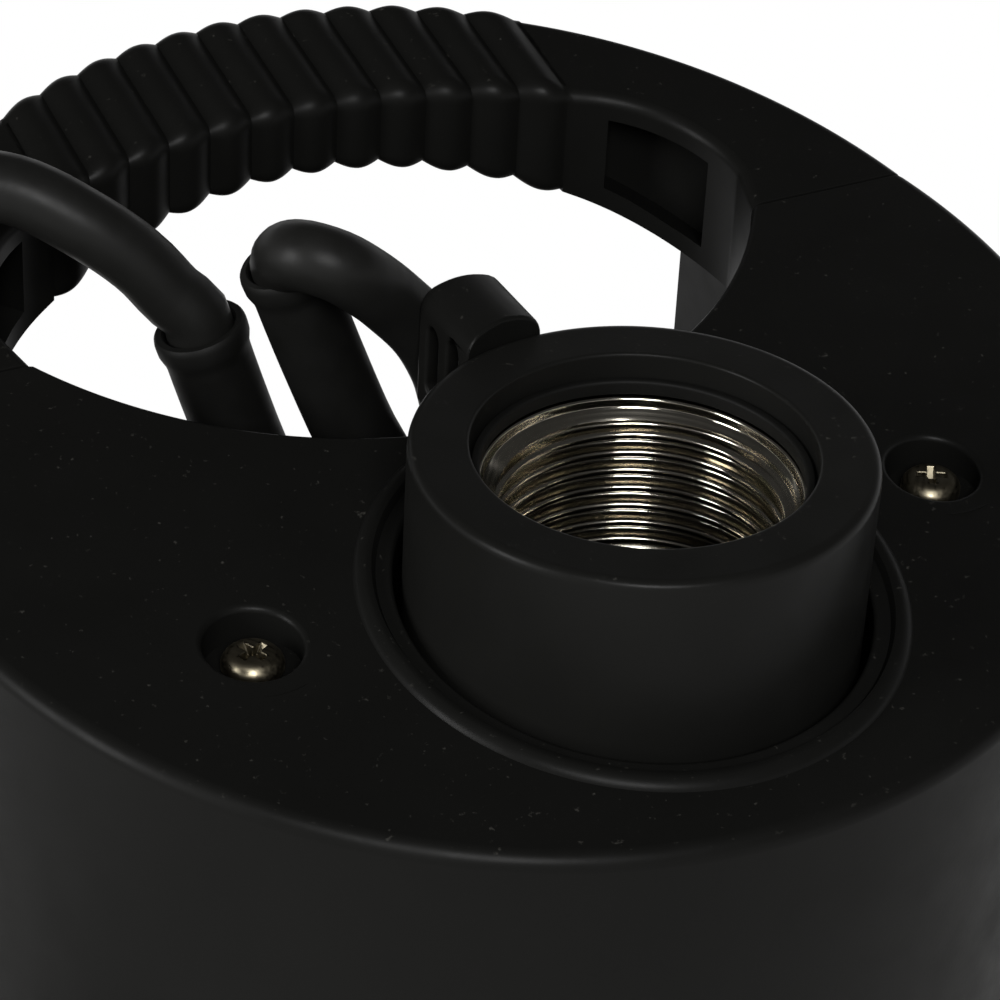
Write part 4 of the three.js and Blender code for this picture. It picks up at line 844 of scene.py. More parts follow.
def grip_section(x, swell):
    """The grip's rounded section at x, swollen over a rib."""
    y0 = GRIP_REAR_CENTRE_Y + math.sqrt(GRIP_REAR_RADIUS**2 - x * x)
    y1 = math.sqrt(BODY_RADIUS**2 - x * x)
    low = arch_level(x) - swell
    corners = [
        (y0 - swell, low, 1.3 + swell), (y1 + swell * 0.4, low, 1.3 + swell),
        (y1 + swell * 0.4, handle_top(x, y1) + swell, 1.9 + swell),
        (y0 - swell, handle_top(x, y0) + swell, 1.5 + swell),
    ]
    return [(x, y, z) for y, z in rounded(corners, 1, 8)]


def ribbed_grip(rib_height, steps_per_rib=14, tuck=0.6):
    """The middle of the grip, lofted over its finger ribs and tucked into the handle's ends."""
    length = RIB_COUNT * RIB_PITCH
    count = RIB_COUNT * steps_per_rib
    rings = []
    for position in (-tuck, *(length * i / count for i in range(count + 1)), length + tuck):
        inside = min(max(position, 0.0), length)
        swell = rib_height * abs(math.sin(math.pi * inside / RIB_PITCH))
        rings.append(grip_section(position - length / 2, swell))
    return loft("grip_ribs", rings)


def corner_pocket(side):
    """The recess moulded into the inner wall at each end of the grip."""
    outer = arc(*GRIP_CORNER, GRIP_CORNER_RADIUS + POCKET_DEPTH, POCKET_START, POCKET_END, 20)
    inner = arc(*GRIP_CORNER, GRIP_CORNER_RADIUS - 4, POCKET_END, POCKET_START, 12)
    plan = [(side * max(x, POCKET_INNER_X), y) for x, y in outer + inner]
    return prism("pocket", plan, lambda x, y: arch_level(x) + POCKET_SILL,
                 lambda x, y: handle_top(x, y) - POCKET_ROOF)


def on_grip_inner_edge(point):
    """Whether a point is on the grip's side of the hand opening."""
    return not on_body_rim(point) and point.y > SEAM_Y + 0.5 and abs(point.x) < GRIP_EDGE_END_X


def handle_piece(rim_radius, rib_height):
    """The handle's two ends and arch, and the ribbed middle of its grip."""
    body = prism("handle_moulding", handle_plan(), footing, handle_top)
    behind = BODY_RADIUS + THROUGH
    carve(body,
          side_prism("hand_gap", arch_side(COLUMN_INNER_X), 0, behind),
          side_prism("rear_gap", arch_side(BODY_RADIUS - 8), COLUMN_REAR_Y, behind))
    edit_mesh(body, merge_slivers)
    round_edges(body, rim_radius, lambda p: on_body_rim(p) and at_level(p, handle_top), 4)
    round_edges(body, GRIP_ROUNDING,
                lambda p: on_grip_inner_edge(p) and at_level(p, handle_top), 4)
    round_edges(body, JOINT_ROUNDING,
                lambda p: at_level(p, handle_top, 1.0) and p.y < SEAM_Y + JOINT_REACH, 2)
    half = RIB_COUNT * RIB_PITCH / 2
    carve(body,
          block("grip_middle", -half, half, GRIP_CORNER[1], behind, DECK_LEVEL,
                PLATE_LEVEL + 40),
          corner_pocket(1), corner_pocket(-1))
    for side in (-1, 1):
        carve(body, column("hole", SCREW_HOLE_RADIUS, DECK_LEVEL - THROUGH,
                           DECK_LEVEL + SCREW_LENGTH, (side * HANDLE_SCREW[0], HANDLE_SCREW[1])))
    return body, ribbed_grip(rib_height)


# ---------- outlet ----------

def collar_piece(rim_radius):
    """The ring that stands through the plate, with the spigot and seal groove at its foot."""
    foot = DECK_LEVEL - SPIGOT_LENGTH
    groove = DECK_LEVEL - DECK_THICKNESS / 2
    half = RISER_RING_RADIUS + GAP
    floor = SPIGOT_RADIUS - RISER_GROOVE_DEPTH
    base = DECK_LEVEL + GAP
    shoulder = INSERT_BOTTOM - GAP
    profile = [
        (COLLAR_BORE, COLLAR_TOP, 0.45), (COLLAR_BORE, shoulder), (FLOW_RADIUS, shoulder),
        (FLOW_RADIUS, foot), (SPIGOT_RADIUS, foot, 0.8), (SPIGOT_RADIUS, groove - half),
        (floor, groove - half), (floor, groove + half), (SPIGOT_RADIUS, groove + half),
        (SPIGOT_RADIUS, base), (COLLAR_RADIUS, base), (COLLAR_RADIUS, COLLAR_TOP, rim_radius),
    ]
    return turned("outlet_collar_moulding", rounded(profile, 0.25, 6), 256, (0, OUTLET_Y))


def seal_band_piece():
    """The rubber band that closes the gap over the metal sleeve."""
    bottom = INSERT_TOP + GAP
    inner = INSERT_RADIUS - SEAL_BAND_WIDTH
    top = bottom + SEAL_BAND_HEIGHT
    profile = [(inner, bottom), (INSERT_RADIUS, bottom), (INSERT_RADIUS, top), (inner, top, 0.4)]
    return turned("seal_band", rounded(profile, 0.15), 192, (0, OUTLET_Y))


def thread_depth(phase, flatness=2.2):
    """Depth of a pipe thread over one pitch, from 0 at its crest to 1 at its root,
    with both rounded."""
    wave = math.tanh(flatness * math.cos(2 * math.pi * phase)) / math.tanh(flatness)
    return 0.5 - 0.5 * wave


def mouth_radius(level, edge=0.35, lip=1.1, slope=1.1):
    """The lead-in above the first thread: a rounded edge, a straight lip and a cone."""
    below = INSERT_TOP - level
    if below < edge:
        return THREAD_MOUTH_RADIUS + edge - math.sqrt(max(0.0, edge**2 - (edge - below) ** 2))
    return THREAD_MOUTH_RADIUS - max(0.0, below - lip) * slope


def thread_radius(level, phase):
    """The sleeve's inside at a level, its thread fading out over the lowest pitch."""
    run_out = min(max((level - INSERT_BOTTOM) / THREAD_PITCH, 0.0), 1.0)
    depth = (THREAD_MAJOR_RADIUS - THREAD_MINOR_RADIUS) * thread_depth(phase) * run_out
    return max(THREAD_MINOR_RADIUS + depth, mouth_radius(level))


def threaded_insert_piece(around_steps=200, pitch_steps=16):
    """The outlet's metal sleeve, its inside one continuous right-hand helix."""
    wall = [
        (INSERT_RADIUS - 0.3, INSERT_BOTTOM), (INSERT_RADIUS, INSERT_BOTTOM + 0.3),
        (INSERT_RADIUS, INSERT_TOP - 0.3), (INSERT_RADIUS - 0.3, INSERT_TOP),
    ]
    turns = math.ceil(INSERT_LENGTH / THREAD_PITCH) + 2
    rows = turns * pitch_steps
    vertices = []
    for i in range(around_steps):
        angle = 2 * math.pi * i / around_steps
        for radius, z in wall:
            vertices.append((radius * math.cos(angle), OUTLET_Y + radius * math.sin(angle), z))
        for j in range(rows + 1):
            z = INSERT_TOP + THREAD_PITCH * (1.5 - j / pitch_steps - i / around_steps)
            z = min(max(z, INSERT_BOTTOM), INSERT_TOP)
            radius = thread_radius(z, j / pitch_steps)
            vertices.append((radius * math.cos(angle), OUTLET_Y + radius * math.sin(angle), z))
    faces = insert_faces(around_steps, pitch_steps, rows, len(wall))
    return make_object("threaded_insert_metal", vertices, faces)


def insert_faces(around_steps, pitch_steps, rows, wall_count):
    """Quads of the sleeve. The wall closes on itself, and the thread one pitch further down."""
    stride = wall_count + rows + 1
    faces = []
    for i in range(around_steps):
        here = i * stride
        there = (i + 1) % around_steps * stride
        shift = pitch_steps if i == around_steps - 1 else 0
        for k in range(wall_count - 1):
            faces.append((here + k, there + k, there + k + 1, here + k + 1))
        for j in range(rows - shift):
            a = here + wall_count + j
            b = there + wall_count + j + shift
            faces.append((a, b, b + 1, a + 1))
        faces.append((here + wall_count - 1, there + wall_count - 1,
                      there + wall_count + shift, here + wall_count))
        faces.append((here + stride - 1 - shift, there + stride - 1, there, here))
    return faces


def screw_piece(name, seat, turn):
    """A pan-head screw with a cross recess, standing on its seat and turned about its axis."""
    profile = [(0, 0), (SCREW_HEAD_RADIUS, 0, 0.2), (SCREW_HEAD_RADIUS, 1.1, 0.5),
               (SCREW_HEAD_RADIUS * 0.72, SCREW_HEAD_HEIGHT, 0.8), (0, SCREW_HEAD_HEIGHT)]
    screw = turned(name, rounded(profile, 0.2, 5), 64)
    combine(screw, column("shank", SCREW_SHANK_RADIUS, -SCREW_LENGTH, 0.3, (0, 0), 32), "UNION")
    half = SCREW_RECESS_LENGTH / 2
    floor = SCREW_HEAD_HEIGHT - SCREW_RECESS_DEPTH
    above = SCREW_HEAD_HEIGHT + 0.4
    slot = [(-half * 0.55, floor), (half * 0.55, floor), (half, above), (-half, above)]
    for quarter in (0, 1):
        arm = side_prism("recess", slot, -SCREW_RECESS_WIDTH / 2, SCREW_RECESS_WIDTH / 2)
        carve(screw, move(arm, (0, 0, 0), quarter * math.pi / 2))
    inside = SCREW_HEAD_RADIUS * 0.9
    round_edges(screw, 0.1, lambda p: p.z > floor and math.hypot(p.x, p.y) < inside, 1, 50)
    return move(screw, seat, turn)


# ---------- cord clip ----------

def clip_side():
    """The clip's crowned end, seen along y."""
    z0 = PLATE_LEVEL + CLIP_BOTTOM
    z1 = PLATE_LEVEL + CLIP_TOP
    side = [(CLIP_LEFT, z0, 0.4), (CLIP_RIGHT, z0, 0.4), (CLIP_RIGHT, z1 - CLIP_CROWN, 2.4),
            ((CLIP_LEFT + CLIP_RIGHT) / 2, z1 + 0.35, 3.0), (CLIP_LEFT, z1 - CLIP_CROWN, 2.4)]
    return rounded(side, 0.4, 6)


def clip_slot(y0, y1, z0, z1):
    """A slot in the clip's end face with rounded ends."""
    middle, half = (y0 + y1) / 2, (y1 - y0) / 2
    outline = (arc(middle, z1 - half, half, 0, math.pi, 10)
               + arc(middle, z0 + half, half, math.pi, 2 * math.pi, 10))
    slot = side_prism("clip_slot", [(-y, z) for y, z in outline], CLIP_LEFT - 2, CLIP_LEFT + 4)
    return move(slot, (0, 0, 0), -math.pi / 2)


def cord_clip_piece():
    """The clip: crowned block against the collar, strap round the cord and two slots."""
    z0 = PLATE_LEVEL + CLIP_BOTTOM
    clip = side_prism("cord_clip_moulding", clip_side(), OUTLET_Y + COLLAR_RADIUS - 4, CLIP_REAR)
    outside = CLIP_RIGHT + CLIP_TONGUE_THICKNESS + 1
    reach = CLIP_TONGUE_REACH + CLIP_TONGUE_THICKNESS
    for x0, x1, y0, y1 in (
        (CLIP_RIGHT - 1, outside, CLIP_REAR - 4, CLIP_REAR),
        (outside - CLIP_TONGUE_THICKNESS, outside, CLIP_REAR - 1, reach),
        (CLIP_LEFT + 6, outside, CLIP_TONGUE_REACH, reach),
    ):
        strap = block("strap", x0, x1, y0, y1, z0 + 1, z0 + 1 + CLIP_STRAP_HEIGHT)
        combine(clip, strap, "UNION")
    for k in (0, 1):
        rear = CLIP_REAR - CLIP_SLOT_INSET - k * CLIP_SLOT_PITCH
        bottom = z0 + 2 + k
        carve(clip, clip_slot(rear - CLIP_SLOT_WIDTH, rear, bottom, bottom + CLIP_SLOT_HEIGHT))
    carve(clip, column("collar_clearance", COLLAR_RADIUS + GAP, DECK_LEVEL, PLATE_LEVEL + 60,
                       (0, OUTLET_Y), 128))
    edit_mesh(clip, merge_slivers)
    round_edges(clip, 0.45, segments=3, least_angle=50)
    return clip


# ---------- cords ----------

MAIN_BOOT_PATH = [
    (*MAIN_BOOT_BASE, DECK_LEVEL + 2), (-16.6, 15.1, 256), (-17.1, 15.4, 266), (-18.3, 16.1, 276),
    (-20.5, 17.3, 286), (-23.3, 18.7, 295), (-25.4, 19.6, 302), (-27.3, 20.2, 308.7),
]
FLOAT_BOOT_PATH = [
    (*FLOAT_BOOT_BASE, DECK_LEVEL + 2), (-2.1, 5, 255), (-2.6, 5.2, 264), (-3.9, 5.9, 273),
    (-6.3, 7.1, 282), (-9, 8.5, 290), (-12, 10, 296.5), (-15, 11.1, 304.5), (-17.6, 11.6, 311.7),
    (-19.2, 11.9, 316.4),
]
FLOAT_SLEEVE_PATH = FLOAT_BOOT_PATH + [(-20.5, 12.2, 320.0)]    # the cord folds over its rim
MAIN_LEAD_ROUTE = [
    (-29.9, 21.4, 312.6), (-33.3, 23, 317), (-38.6, 25.6, 321.5), (-45.5, 30.5, 325),
    (-54, 36, 324.6), (-63, 40, 320.6), (-72, 43.3, 312.8), (-80, 46, 300), (-85.5, 48, 283),
    (-88.8, 49.5, 262), (-90.6, 51.5, 235), (-91.3, 55.5, 205), (-91.6, 61.5, 172),
    (-91.5, 69, 138), (-91, 77.5, 104), (-90.3, 85, 72), (-89.6, 88, 46), (-88.9, 84.5, 25),
    (-88.4, 78, 15.2), (-87.9, 69.5, 8.8), (-87.6, 60, 5.6), (-87.5, 50, 4.7), (-87.5, 40, 5.2),
]
ON_DECK = DECK_LEVEL + FLOAT_CORD_RADIUS + GAP
FLOAT_LEAD_ROUTE = [
    (-20.9, 10.6, 321.1), (-20.8, 7, 323.6), (-17.9, 4.3, 323.2), (-13.8, 4.1, 320),
    (-10, 5, 316), (-6.2, 5.6, 311.4), (-3, 6.2, 305.6), (-0.6, 7.6, 299), (1.6, 9.4, 291.8),
    (4, 11.2, 283), (6.3, 13.6, 273), (7.8, 17.2, 263), (7.9, 23.5, 254), (6.8, 32.5, 249.9),
    (5, 42, ON_DECK), (2.5, 52, ON_DECK), (0.6, 61, ON_DECK), (0, 68, ON_DECK), (0, 72.8, 248.6),
]
# x from the coil's centre, y from its outer edge and z from its last turn.
TAIL_ROUTE = [(28, 4.2, 2), (46, -4.8, 9), (57, -16.8, 18)]
# A boot's outside as (way up the cord, extra radius), its lip as (way below the mouth, share of
# the lip's height) and its mouth as (way below the mouth, room beside the cord).
BOOT_SLEEVE = ((0, 0.9), (6, 0.7), (16, 0.35))
BOOT_ROLL = ((4.2, 0.0), (3.4, 0.15), (2.7, 0.6), (2.1, 0.95), (1.4, 1.0), (0.8, 1.0), (0.3, 0.8),
             (0, 0.35))
BOOT_MOUTH = ((0, 0.45), (0.3, 0.2), (2.2, 0.15))


def boot_piece(name, route, radius, cord_radius, base, lip):
    """A moulded strain relief: flange on the deck, sleeve up the cord, rolled lip at its mouth."""
    path = smooth_path(route, BOOT_STEP)
    length = path_length(path)
    stations = [(d, radius + extra) for d, extra in BOOT_SLEEVE]
    stations += [(d, radius) for d in range(30, int(length - 5), 3)]
    stations += [(length - below, radius + lip * share) for below, share in BOOT_ROLL]
    stations += [(length - below, cord_radius + room) for below, room in BOOT_MOUTH]
    sleeve = sweep(name, path, stations, 48)
    bottom = DECK_LEVEL + GAP
    top = bottom + BOOT_FLANGE_HEIGHT
    flange = [(0, bottom), (BOOT_FLANGE_RADIUS, bottom), (BOOT_FLANGE_RADIUS, top, 1.0),
              (radius, top, 0), (radius - 1, DECK_LEVEL + 5, 0), (0, DECK_LEVEL + 5)]
    foot = turned(name + "_foot", rounded(flange, 0.3), 64, base)
    stem = column(name + "_stem", BOOT_STEM_RADIUS, CAN_TOP - 2, DECK_LEVEL + 1, base, 32)
    return sleeve, foot, stem


def boot_end(route):
    """Where the cord comes out of a boot, and which way."""
    path = smooth_path(route, BOOT_STEP)
    return path[-1], (path[-1] - path[-2]).normalized()


def coil_point(turn):
    """The coil's centreline: layers that wind inward and outward by turns."""
    layer = min(int(turn // COIL_TURNS_PER_LAYER), COIL_LAYERS - 1)
    within = turn / COIL_TURNS_PER_LAYER - layer
    inward = within if layer % 2 == 0 else 1 - within
    width = COIL_TURNS_PER_LAYER * COIL_SPACING
    radius = COIL_MID_RADIUS + width / 2 - width * inward
    rise = 0.0
    for k in range(1, COIL_LAYERS):
        done = (turn - k * COIL_TURNS_PER_LAYER) / COIL_STEP_TURNS + 0.5
        step = min(max(done, 0.0), 1.0)
        rise += step * step * (3 - 2 * step)
    angle = -2 * math.pi * turn
    return Vector((COIL_CENTRE[0] + radius * math.cos(angle),
                   COIL_CENTRE[1] + radius * math.sin(angle), COIL_BOTTOM + rise * COIL_SPACING))


def coil_path(steps_per_turn=96):
    """Points along the whole coil."""
    count = round(COIL_END_TURN * steps_per_turn)
    return [coil_point(COIL_END_TURN * i / count) for i in range(count + 1)]


def tail_route():
    """From the coil's last turn up onto its top, where the plug lies."""
    x, y = COIL_CENTRE
    edge = COIL_MID_RADIUS + COIL_SPACING
    level = coil_point(COIL_END_TURN).z
    return [Vector((x + dx, y + edge + dy, level + dz)) for dx, dy, dz in TAIL_ROUTE]


def main_cord_path():
    """From inside the boot's mouth over the rim to the ground, round the coil and to the plug."""
    mouth, outward = boot_end(MAIN_BOOT_PATH)
    coil = coil_path()
    lead = [mouth - outward * CORD_START, mouth + outward * (GAP + CORD_LEAD_IN)]
    lead += [Vector(point) for point in MAIN_LEAD_ROUTE]
    lead += [coil[0] + Vector((0, 2 * MAIN_CORD_RADIUS, 0)), coil[0]]
    tail = [coil[-1], coil[-1] + Vector((2 * MAIN_CORD_RADIUS, 0, 0)),
            coil[-1] + Vector((3.4 * MAIN_CORD_RADIUS, 0, 0)), *tail_route(),
            PLUG_BACK + Vector((0, 1.4 * MAIN_CORD_RADIUS, 0)), PLUG_BACK]
    return smooth_path(lead, 1.6)[:-1] + coil + smooth_path(tail, 2.0)[1:]


def float_cord_path():
    """From inside the boot's mouth, folded over it and through the clip, across the deck, round
    the bend at its edge and down into the float."""
    mouth, outward = boot_end(FLOAT_BOOT_PATH)
    slant = Vector((0, 1, -1)).normalized()
    lead = [mouth - outward * CORD_START, mouth + outward * (GAP + CORD_LEAD_IN)]
    lead += [Vector(point) for point in FLOAT_LEAD_ROUTE]
    end = FLOAT_BEND_END + FLOAT_DOWN * FLOAT_DROP
    lead += [FLOAT_HINGE - slant * 0.7, FLOAT_HINGE + slant * 0.7, FLOAT_BEND_END,
             end - FLOAT_DOWN * 1.4 * FLOAT_CORD_RADIUS, end]
    return smooth_path(lead, 1.2)


# ---------- camera and stage ----------

CAMERA_PLACE = Vector((-0.1715, -0.3149, 0.5323))
CAMERA_DIRECTION = Vector((0.400, 0.726, -0.560)).normalized()
CAMERA_ROLL = math.radians(3.15)
CAMERA_LENS = 134.6
SKY_LEVEL = 0.04                # overhead, as seen in a reflection
AMBIENT_LEVEL = 0.22            # the light that surfaces gather
HORIZON_LOW = 0.15              # upward share of a direction where white begins to dim
HORIZON_HIGH = 0.35
FLOOR_FADE_START = 0.26         # metres from the pump's foot
FLOOR_FADE_END = 0.42
LAMPS = (
    ("front_softbox", Vector((-0.35, -0.8, 1.0)), (0.4, 0.4), 12),
    ("left_softbox", Vector((-1.1, -0.05, 0.65)), (0.3, 0.6), 11),
)
LAMP_TARGET = Vector((0.0, 0.0, 0.28))
FLOOR_REACH = 4000.0


def aim(obj, place, direction, roll=0.0):
    """Points a camera or lamp along a direction, turned about it by roll."""
    obj.location = place
    turn = direction.to_track_quat("-Z", "Y").to_matrix().to_4x4()
    obj.rotation_euler = (turn @ Matrix.Rotation(roll, 4, "Z")).to_euler()


def add_camera():
    """A long lens that looks down on the outlet from over the pump's left front."""
    data = bpy.data.cameras.new("view_of_the_outlet")
    data.lens = CAMERA_LENS
    data.sensor_width = 36
    data.clip_start = 0.01
    data.clip_end = 50
    camera = bpy.data.objects.new("view_of_the_outlet", data)
    bpy.context.collection.objects.link(camera)
    aim(camera, CAMERA_PLACE, CAMERA_DIRECTION, CAMERA_ROLL)
    bpy.context.scene.camera = camera


def soft_light(name, place, size, power):
    """A rectangular white lamp that points at the top of the pump."""
    data = bpy.data.lights.new(name, "AREA")
    data.shape = "RECTANGLE"
    data.size, data.size_y = size
    data.energy = power
    lamp = bpy.data.objects.new(name, data)
    bpy.context.collection.objects.link(lamp)
    aim(lamp, place, (LAMP_TARGET - place).normalized())


def studio_world():
    """White near the horizon, where a view from the side sees it, and dim overhead."""
    world = bpy.data.worlds.new("studio")
    world.use_nodes = True
    tree = world.node_tree
    tree.nodes.clear()
    direction = add_node(tree, "ShaderNodeTexCoord", None, "Generated")
    height = add_node(tree, "ShaderNodeSeparateXYZ", None, "Z", Vector=direction)
    overhead = add_node(tree, "ShaderNodeMapRange", {"interpolation_type": "SMOOTHSTEP"}, "Result",
                        Value=height, i1=HORIZON_LOW, i2=HORIZON_HIGH, i3=1.0, i4=SKY_LEVEL)
    level = add_node(tree, "ShaderNodeMix", {"data_type": "FLOAT"}, 0, i0=seen_directly(tree),
                     i2=AMBIENT_LEVEL, i3=overhead)
    sky = add_node(tree, "ShaderNodeBackground", None, "Background", Color=(1.0, 1.0, 1.0, 1.0),
                   Strength=level)
    add_node(tree, "ShaderNodeOutputWorld", Surface=sky)
    bpy.context.scene.world = world


def add_floor():
    """A board under the pump, wide enough to run out of every view."""
    corners = [(-FLOOR_REACH, -FLOOR_REACH, 0), (FLOOR_REACH, -FLOOR_REACH, 0),
               (FLOOR_REACH, FLOOR_REACH, 0), (-FLOOR_REACH, FLOOR_REACH, 0)]
    floor = make_object("floor", corners, [(0, 1, 2, 3)])
    floor.data.materials.append(finish_material("floor_board"))


# ---------- lower housing ----------

def casing_piece():
    """Jacket and deck, with the screw bosses, the cords' holes and the guide lugs."""
    bottom = SUCTION_TOP + GAP
    inner = BODY_RADIUS - WALL
    ceiling = DECK_LEVEL - DECK_THICKNESS
    shell = turned("casing_moulding", rounded([
        (0, DECK_LEVEL), (BODY_RADIUS, DECK_LEVEL, 0.4), (BODY_RADIUS, bottom, 0.5),
        (inner, bottom, 0.3), (inner, ceiling), (0, ceiling),
    ], 0.3), 256)
    boss_top = cover_top(0, COVER_SCREW[1]) - SCREW_CUP_DEPTH - GAP
    above, below = DECK_LEVEL + 2, ceiling - 2
    for side in (-1, 1):
        screw = (side * COVER_SCREW[0], COVER_SCREW[1])
        handle_screw = (side * HANDLE_SCREW[0], HANDLE_SCREW[1])
        boss = column("boss", SCREW_BOSS_RADIUS, DECK_LEVEL - 1, boss_top, screw, 48)
        lug = column("lug", GUIDE_RADIUS, DECK_LEVEL - 1, DECK_LEVEL + GUIDE_HEIGHT,
                     (side * GUIDE_X, GUIDE_Y), 32)
        combine(shell, boss, "UNION")
        combine(shell, lug, "UNION")
        carve(shell,
              column("hole", SCREW_HOLE_RADIUS, boss_top - SCREW_LENGTH, boss_top + 2, screw, 32),
              column("hole", SCREW_HOLE_RADIUS, below, above, handle_screw, 32))
    for base in (MAIN_BOOT_BASE, FLOAT_BOOT_BASE):
        carve(shell, column("stem_hole", BOOT_STEM_RADIUS + GAP, below, above, base, 48))
    outlet = column("outlet_hole", SPIGOT_RADIUS + 2 * GAP, below, above, (0, OUTLET_Y), 128)
    return carve(shell, outlet)


def intake_cutter(degrees):
    """A cutter for one arched slot of the strainer."""
    half = SLOT_WIDTH / 2
    low = SLOT_BOTTOM
    side = ([(-half, low + 1), (-half + 1, low), (half - 1, low), (half, low + 1)]
            + arc(0, low + SLOT_HEIGHT - half, half, 0, math.pi, 20))
    cutter = side_prism("intake", side, BODY_RADIUS - WALL - 3, BODY_RADIUS + 3)
    return move(cutter, (0, 0, 0), math.radians(degrees))


def suction_base_piece():
    """Strainer: a short wall with arched slots all round and four screw bosses inside."""
    inner = BODY_RADIUS - WALL
    ledge = inner - LEDGE_WIDTH
    base = turned("suction_base_moulding", rounded([
        (BODY_RADIUS, PLATE_TOP + GAP, 0.4), (BODY_RADIUS, SUCTION_TOP, 0.5), (inner, SUCTION_TOP),
        (inner, LEDGE_TOP), (ledge, LEDGE_TOP), (ledge, LEDGE_TOP - LEDGE_HEIGHT),
        (inner, LEDGE_TOP - LEDGE_HEIGHT), (inner, PLATE_TOP + GAP),
    ], 0.2), 240)
    for k in range(SLOT_COUNT):
        carve(base, intake_cutter(360 * k / SLOT_COUNT))
    round_edges(base, 0.5, lambda p: SLOT_BOTTOM - 0.2 < p.z < SLOT_BOTTOM + SLOT_HEIGHT + 0.2
                and math.hypot(p.x, p.y) > BODY_RADIUS - 0.5, 2, 40)
    low, high = PLATE_TOP + GAP, LEDGE_TOP - 1
    for degrees in FOOT_ANGLES:
        place = foot_place(degrees)
        boss = column("boss", BASE_BOSS_RADIUS, low, high, place, 40)
        web = block("web", 0, inner - FOOT_CIRCLE + 1, -WEB_THICKNESS / 2, WEB_THICKNESS / 2,
                    low, high)
        combine(boss, move(web, (*place, 0), math.radians(degrees)), "UNION")
        combine(base, boss, "UNION")
        carve(base, column("hole", SCREW_HOLE_RADIUS, PLATE_TOP - 1,
                           PLATE_TOP + BASE_SCREW_LENGTH + 2, place, 32))
    return base


def foot_place(degrees):
    """The middle of a foot, in the plan."""
    angle = math.radians(degrees)
    return FOOT_CIRCLE * math.cos(angle), FOOT_CIRCLE * math.sin(angle)


def base_plate_piece():
    """The round plate under the strainer, with its screw holes."""
    profile = [(0, PLATE_BOTTOM), (BODY_RADIUS, PLATE_BOTTOM, 0.8), (BODY_RADIUS, PLATE_TOP, 0.4),
               (0, PLATE_TOP)]
    plate = turned("base_plate_moulding", rounded(profile, 0.4), 240)
    for degrees in FOOT_ANGLES:
        place = foot_place(degrees)
        carve(plate, column("hole", SCREW_HOLE_RADIUS, 0, PLATE_TOP + 1, place, 32))
    return plate


def foot_piece(name, degrees):
    """A rubber ring round a base screw's head."""
    inner = SCREW_HEAD_RADIUS + 0.6
    profile = [(inner, 0, 0.4), (FOOT_RADIUS, 0, 1.0), (FOOT_RADIUS - 0.4, PLATE_BOTTOM - GAP, 0.3),
               (inner, PLATE_BOTTOM - GAP, 0.2)]
    return turned(name, rounded(profile, 0.3), 72, foot_place(degrees))


# ---------- float ----------

def float_outline(wall):
    """Half outline of the float, hanging from the cord's entry at the origin."""
    half = FLOAT_WIDTH / 2 - wall
    top = -FLOAT_NECK_LENGTH - wall
    bottom = -FLOAT_NECK_LENGTH - FLOAT_LENGTH + wall
    bend = half * 0.75
    return [(0, bottom), *arc(half - bend, bottom + bend, bend, -math.pi / 2, 0, 16),
            *arc(half - bend, top - bend, bend, 0, math.pi / 2, 16), (0, top)]


def float_body(name, wall):
    """The float's outside, or its hollow inside the wall, flattened from front to back."""
    body = turned(name, float_outline(wall), 128)
    body.data.transform(Matrix.Diagonal((1, FLOAT_THICKNESS / FLOAT_WIDTH, 1, 1)))
    return body


def float_half(name, side):
    """One welded half of the hollow float, with its neck, rounded along the rim of its joint."""
    shell = float_body(name, 0)
    low = -FLOAT_NECK_LENGTH - 1.5
    neck = [(0, 0), (FLOAT_NECK_RADIUS, 0, 1.0), (FLOAT_NECK_RADIUS, low, 0), (0, low)]
    combine(shell, turned("neck", rounded(neck, 0.6), 64), "UNION")
    carve(shell, float_body("inside", FLOAT_WALL))
    near, far = (-60, GAP / 2) if side > 0 else (-GAP / 2, 60)
    carve(shell, block("other_half", -60, 60, near, far, -150, 10))
    round_edges(shell, 0.5, lambda p: abs(abs(p.y) - GAP / 2) < 0.05, 2, 50)
    return move(shell, FLOAT_BEND_END + FLOAT_DOWN * (FLOAT_DROP + GAP), FLOAT_LEAN, "X")


# ---------- plug and tie ----------

def on_plug(obj):
    """Lays a piece that was made upright along the plug's axis."""
    return move(obj, PLUG_BACK, math.pi / 2, "X")


def plug_piece():
    """Moulded two-pin plug: ringed neck, finger grips, flat face."""
    neck = [(0, 0), (PLUG_NECK_RADIUS, 0, 0.8)]
    for k in range(4):
        z = 3.5 + 4.2 * k
        neck += [(PLUG_NECK_RADIUS + 0.1, z, 0.3), (PLUG_NECK_RADIUS - 0.9, z + 0.6, 0.3),
                 (PLUG_NECK_RADIUS - 0.9, z + 1.8, 0.3), (PLUG_NECK_RADIUS + 0.2, z + 2.4, 0.3)]
    profile = neck + [
        (PLUG_NECK_RADIUS + 1, PLUG_NECK_LENGTH, 2), (PLUG_RADIUS - 4, PLUG_NECK_LENGTH + 8, 4),
        (PLUG_RADIUS - 1, PLUG_NECK_LENGTH + 22, 1.5), (PLUG_RADIUS, PLUG_NECK_LENGTH + 24, 0.6),
        (PLUG_RADIUS, PLUG_FACE, 1.2), (0, PLUG_FACE),
    ]
    plug = turned("mains_plug_moulding", rounded(profile, 0.3), 96)
    for side in (-1, 1):
        carve(plug, column("socket", PIN_RADIUS + GAP, PIN_SOCKET_FLOOR, PLUG_FACE + 6,
                           (side * PIN_SPACING / 2, 0), 40))
    grooves = [PLUG_NECK_LENGTH + 25.5 + 2.8 * k for k in range(4)]
    for side in (-1, 1):
        y0, y1 = sorted((side * (PLUG_RADIUS - 1.2), side * (PLUG_RADIUS + 2.8)))
        for z in grooves:
            carve(plug, block("finger_groove", -9, 9, y0, y1, z, z + 1.2))
    return on_plug(plug)


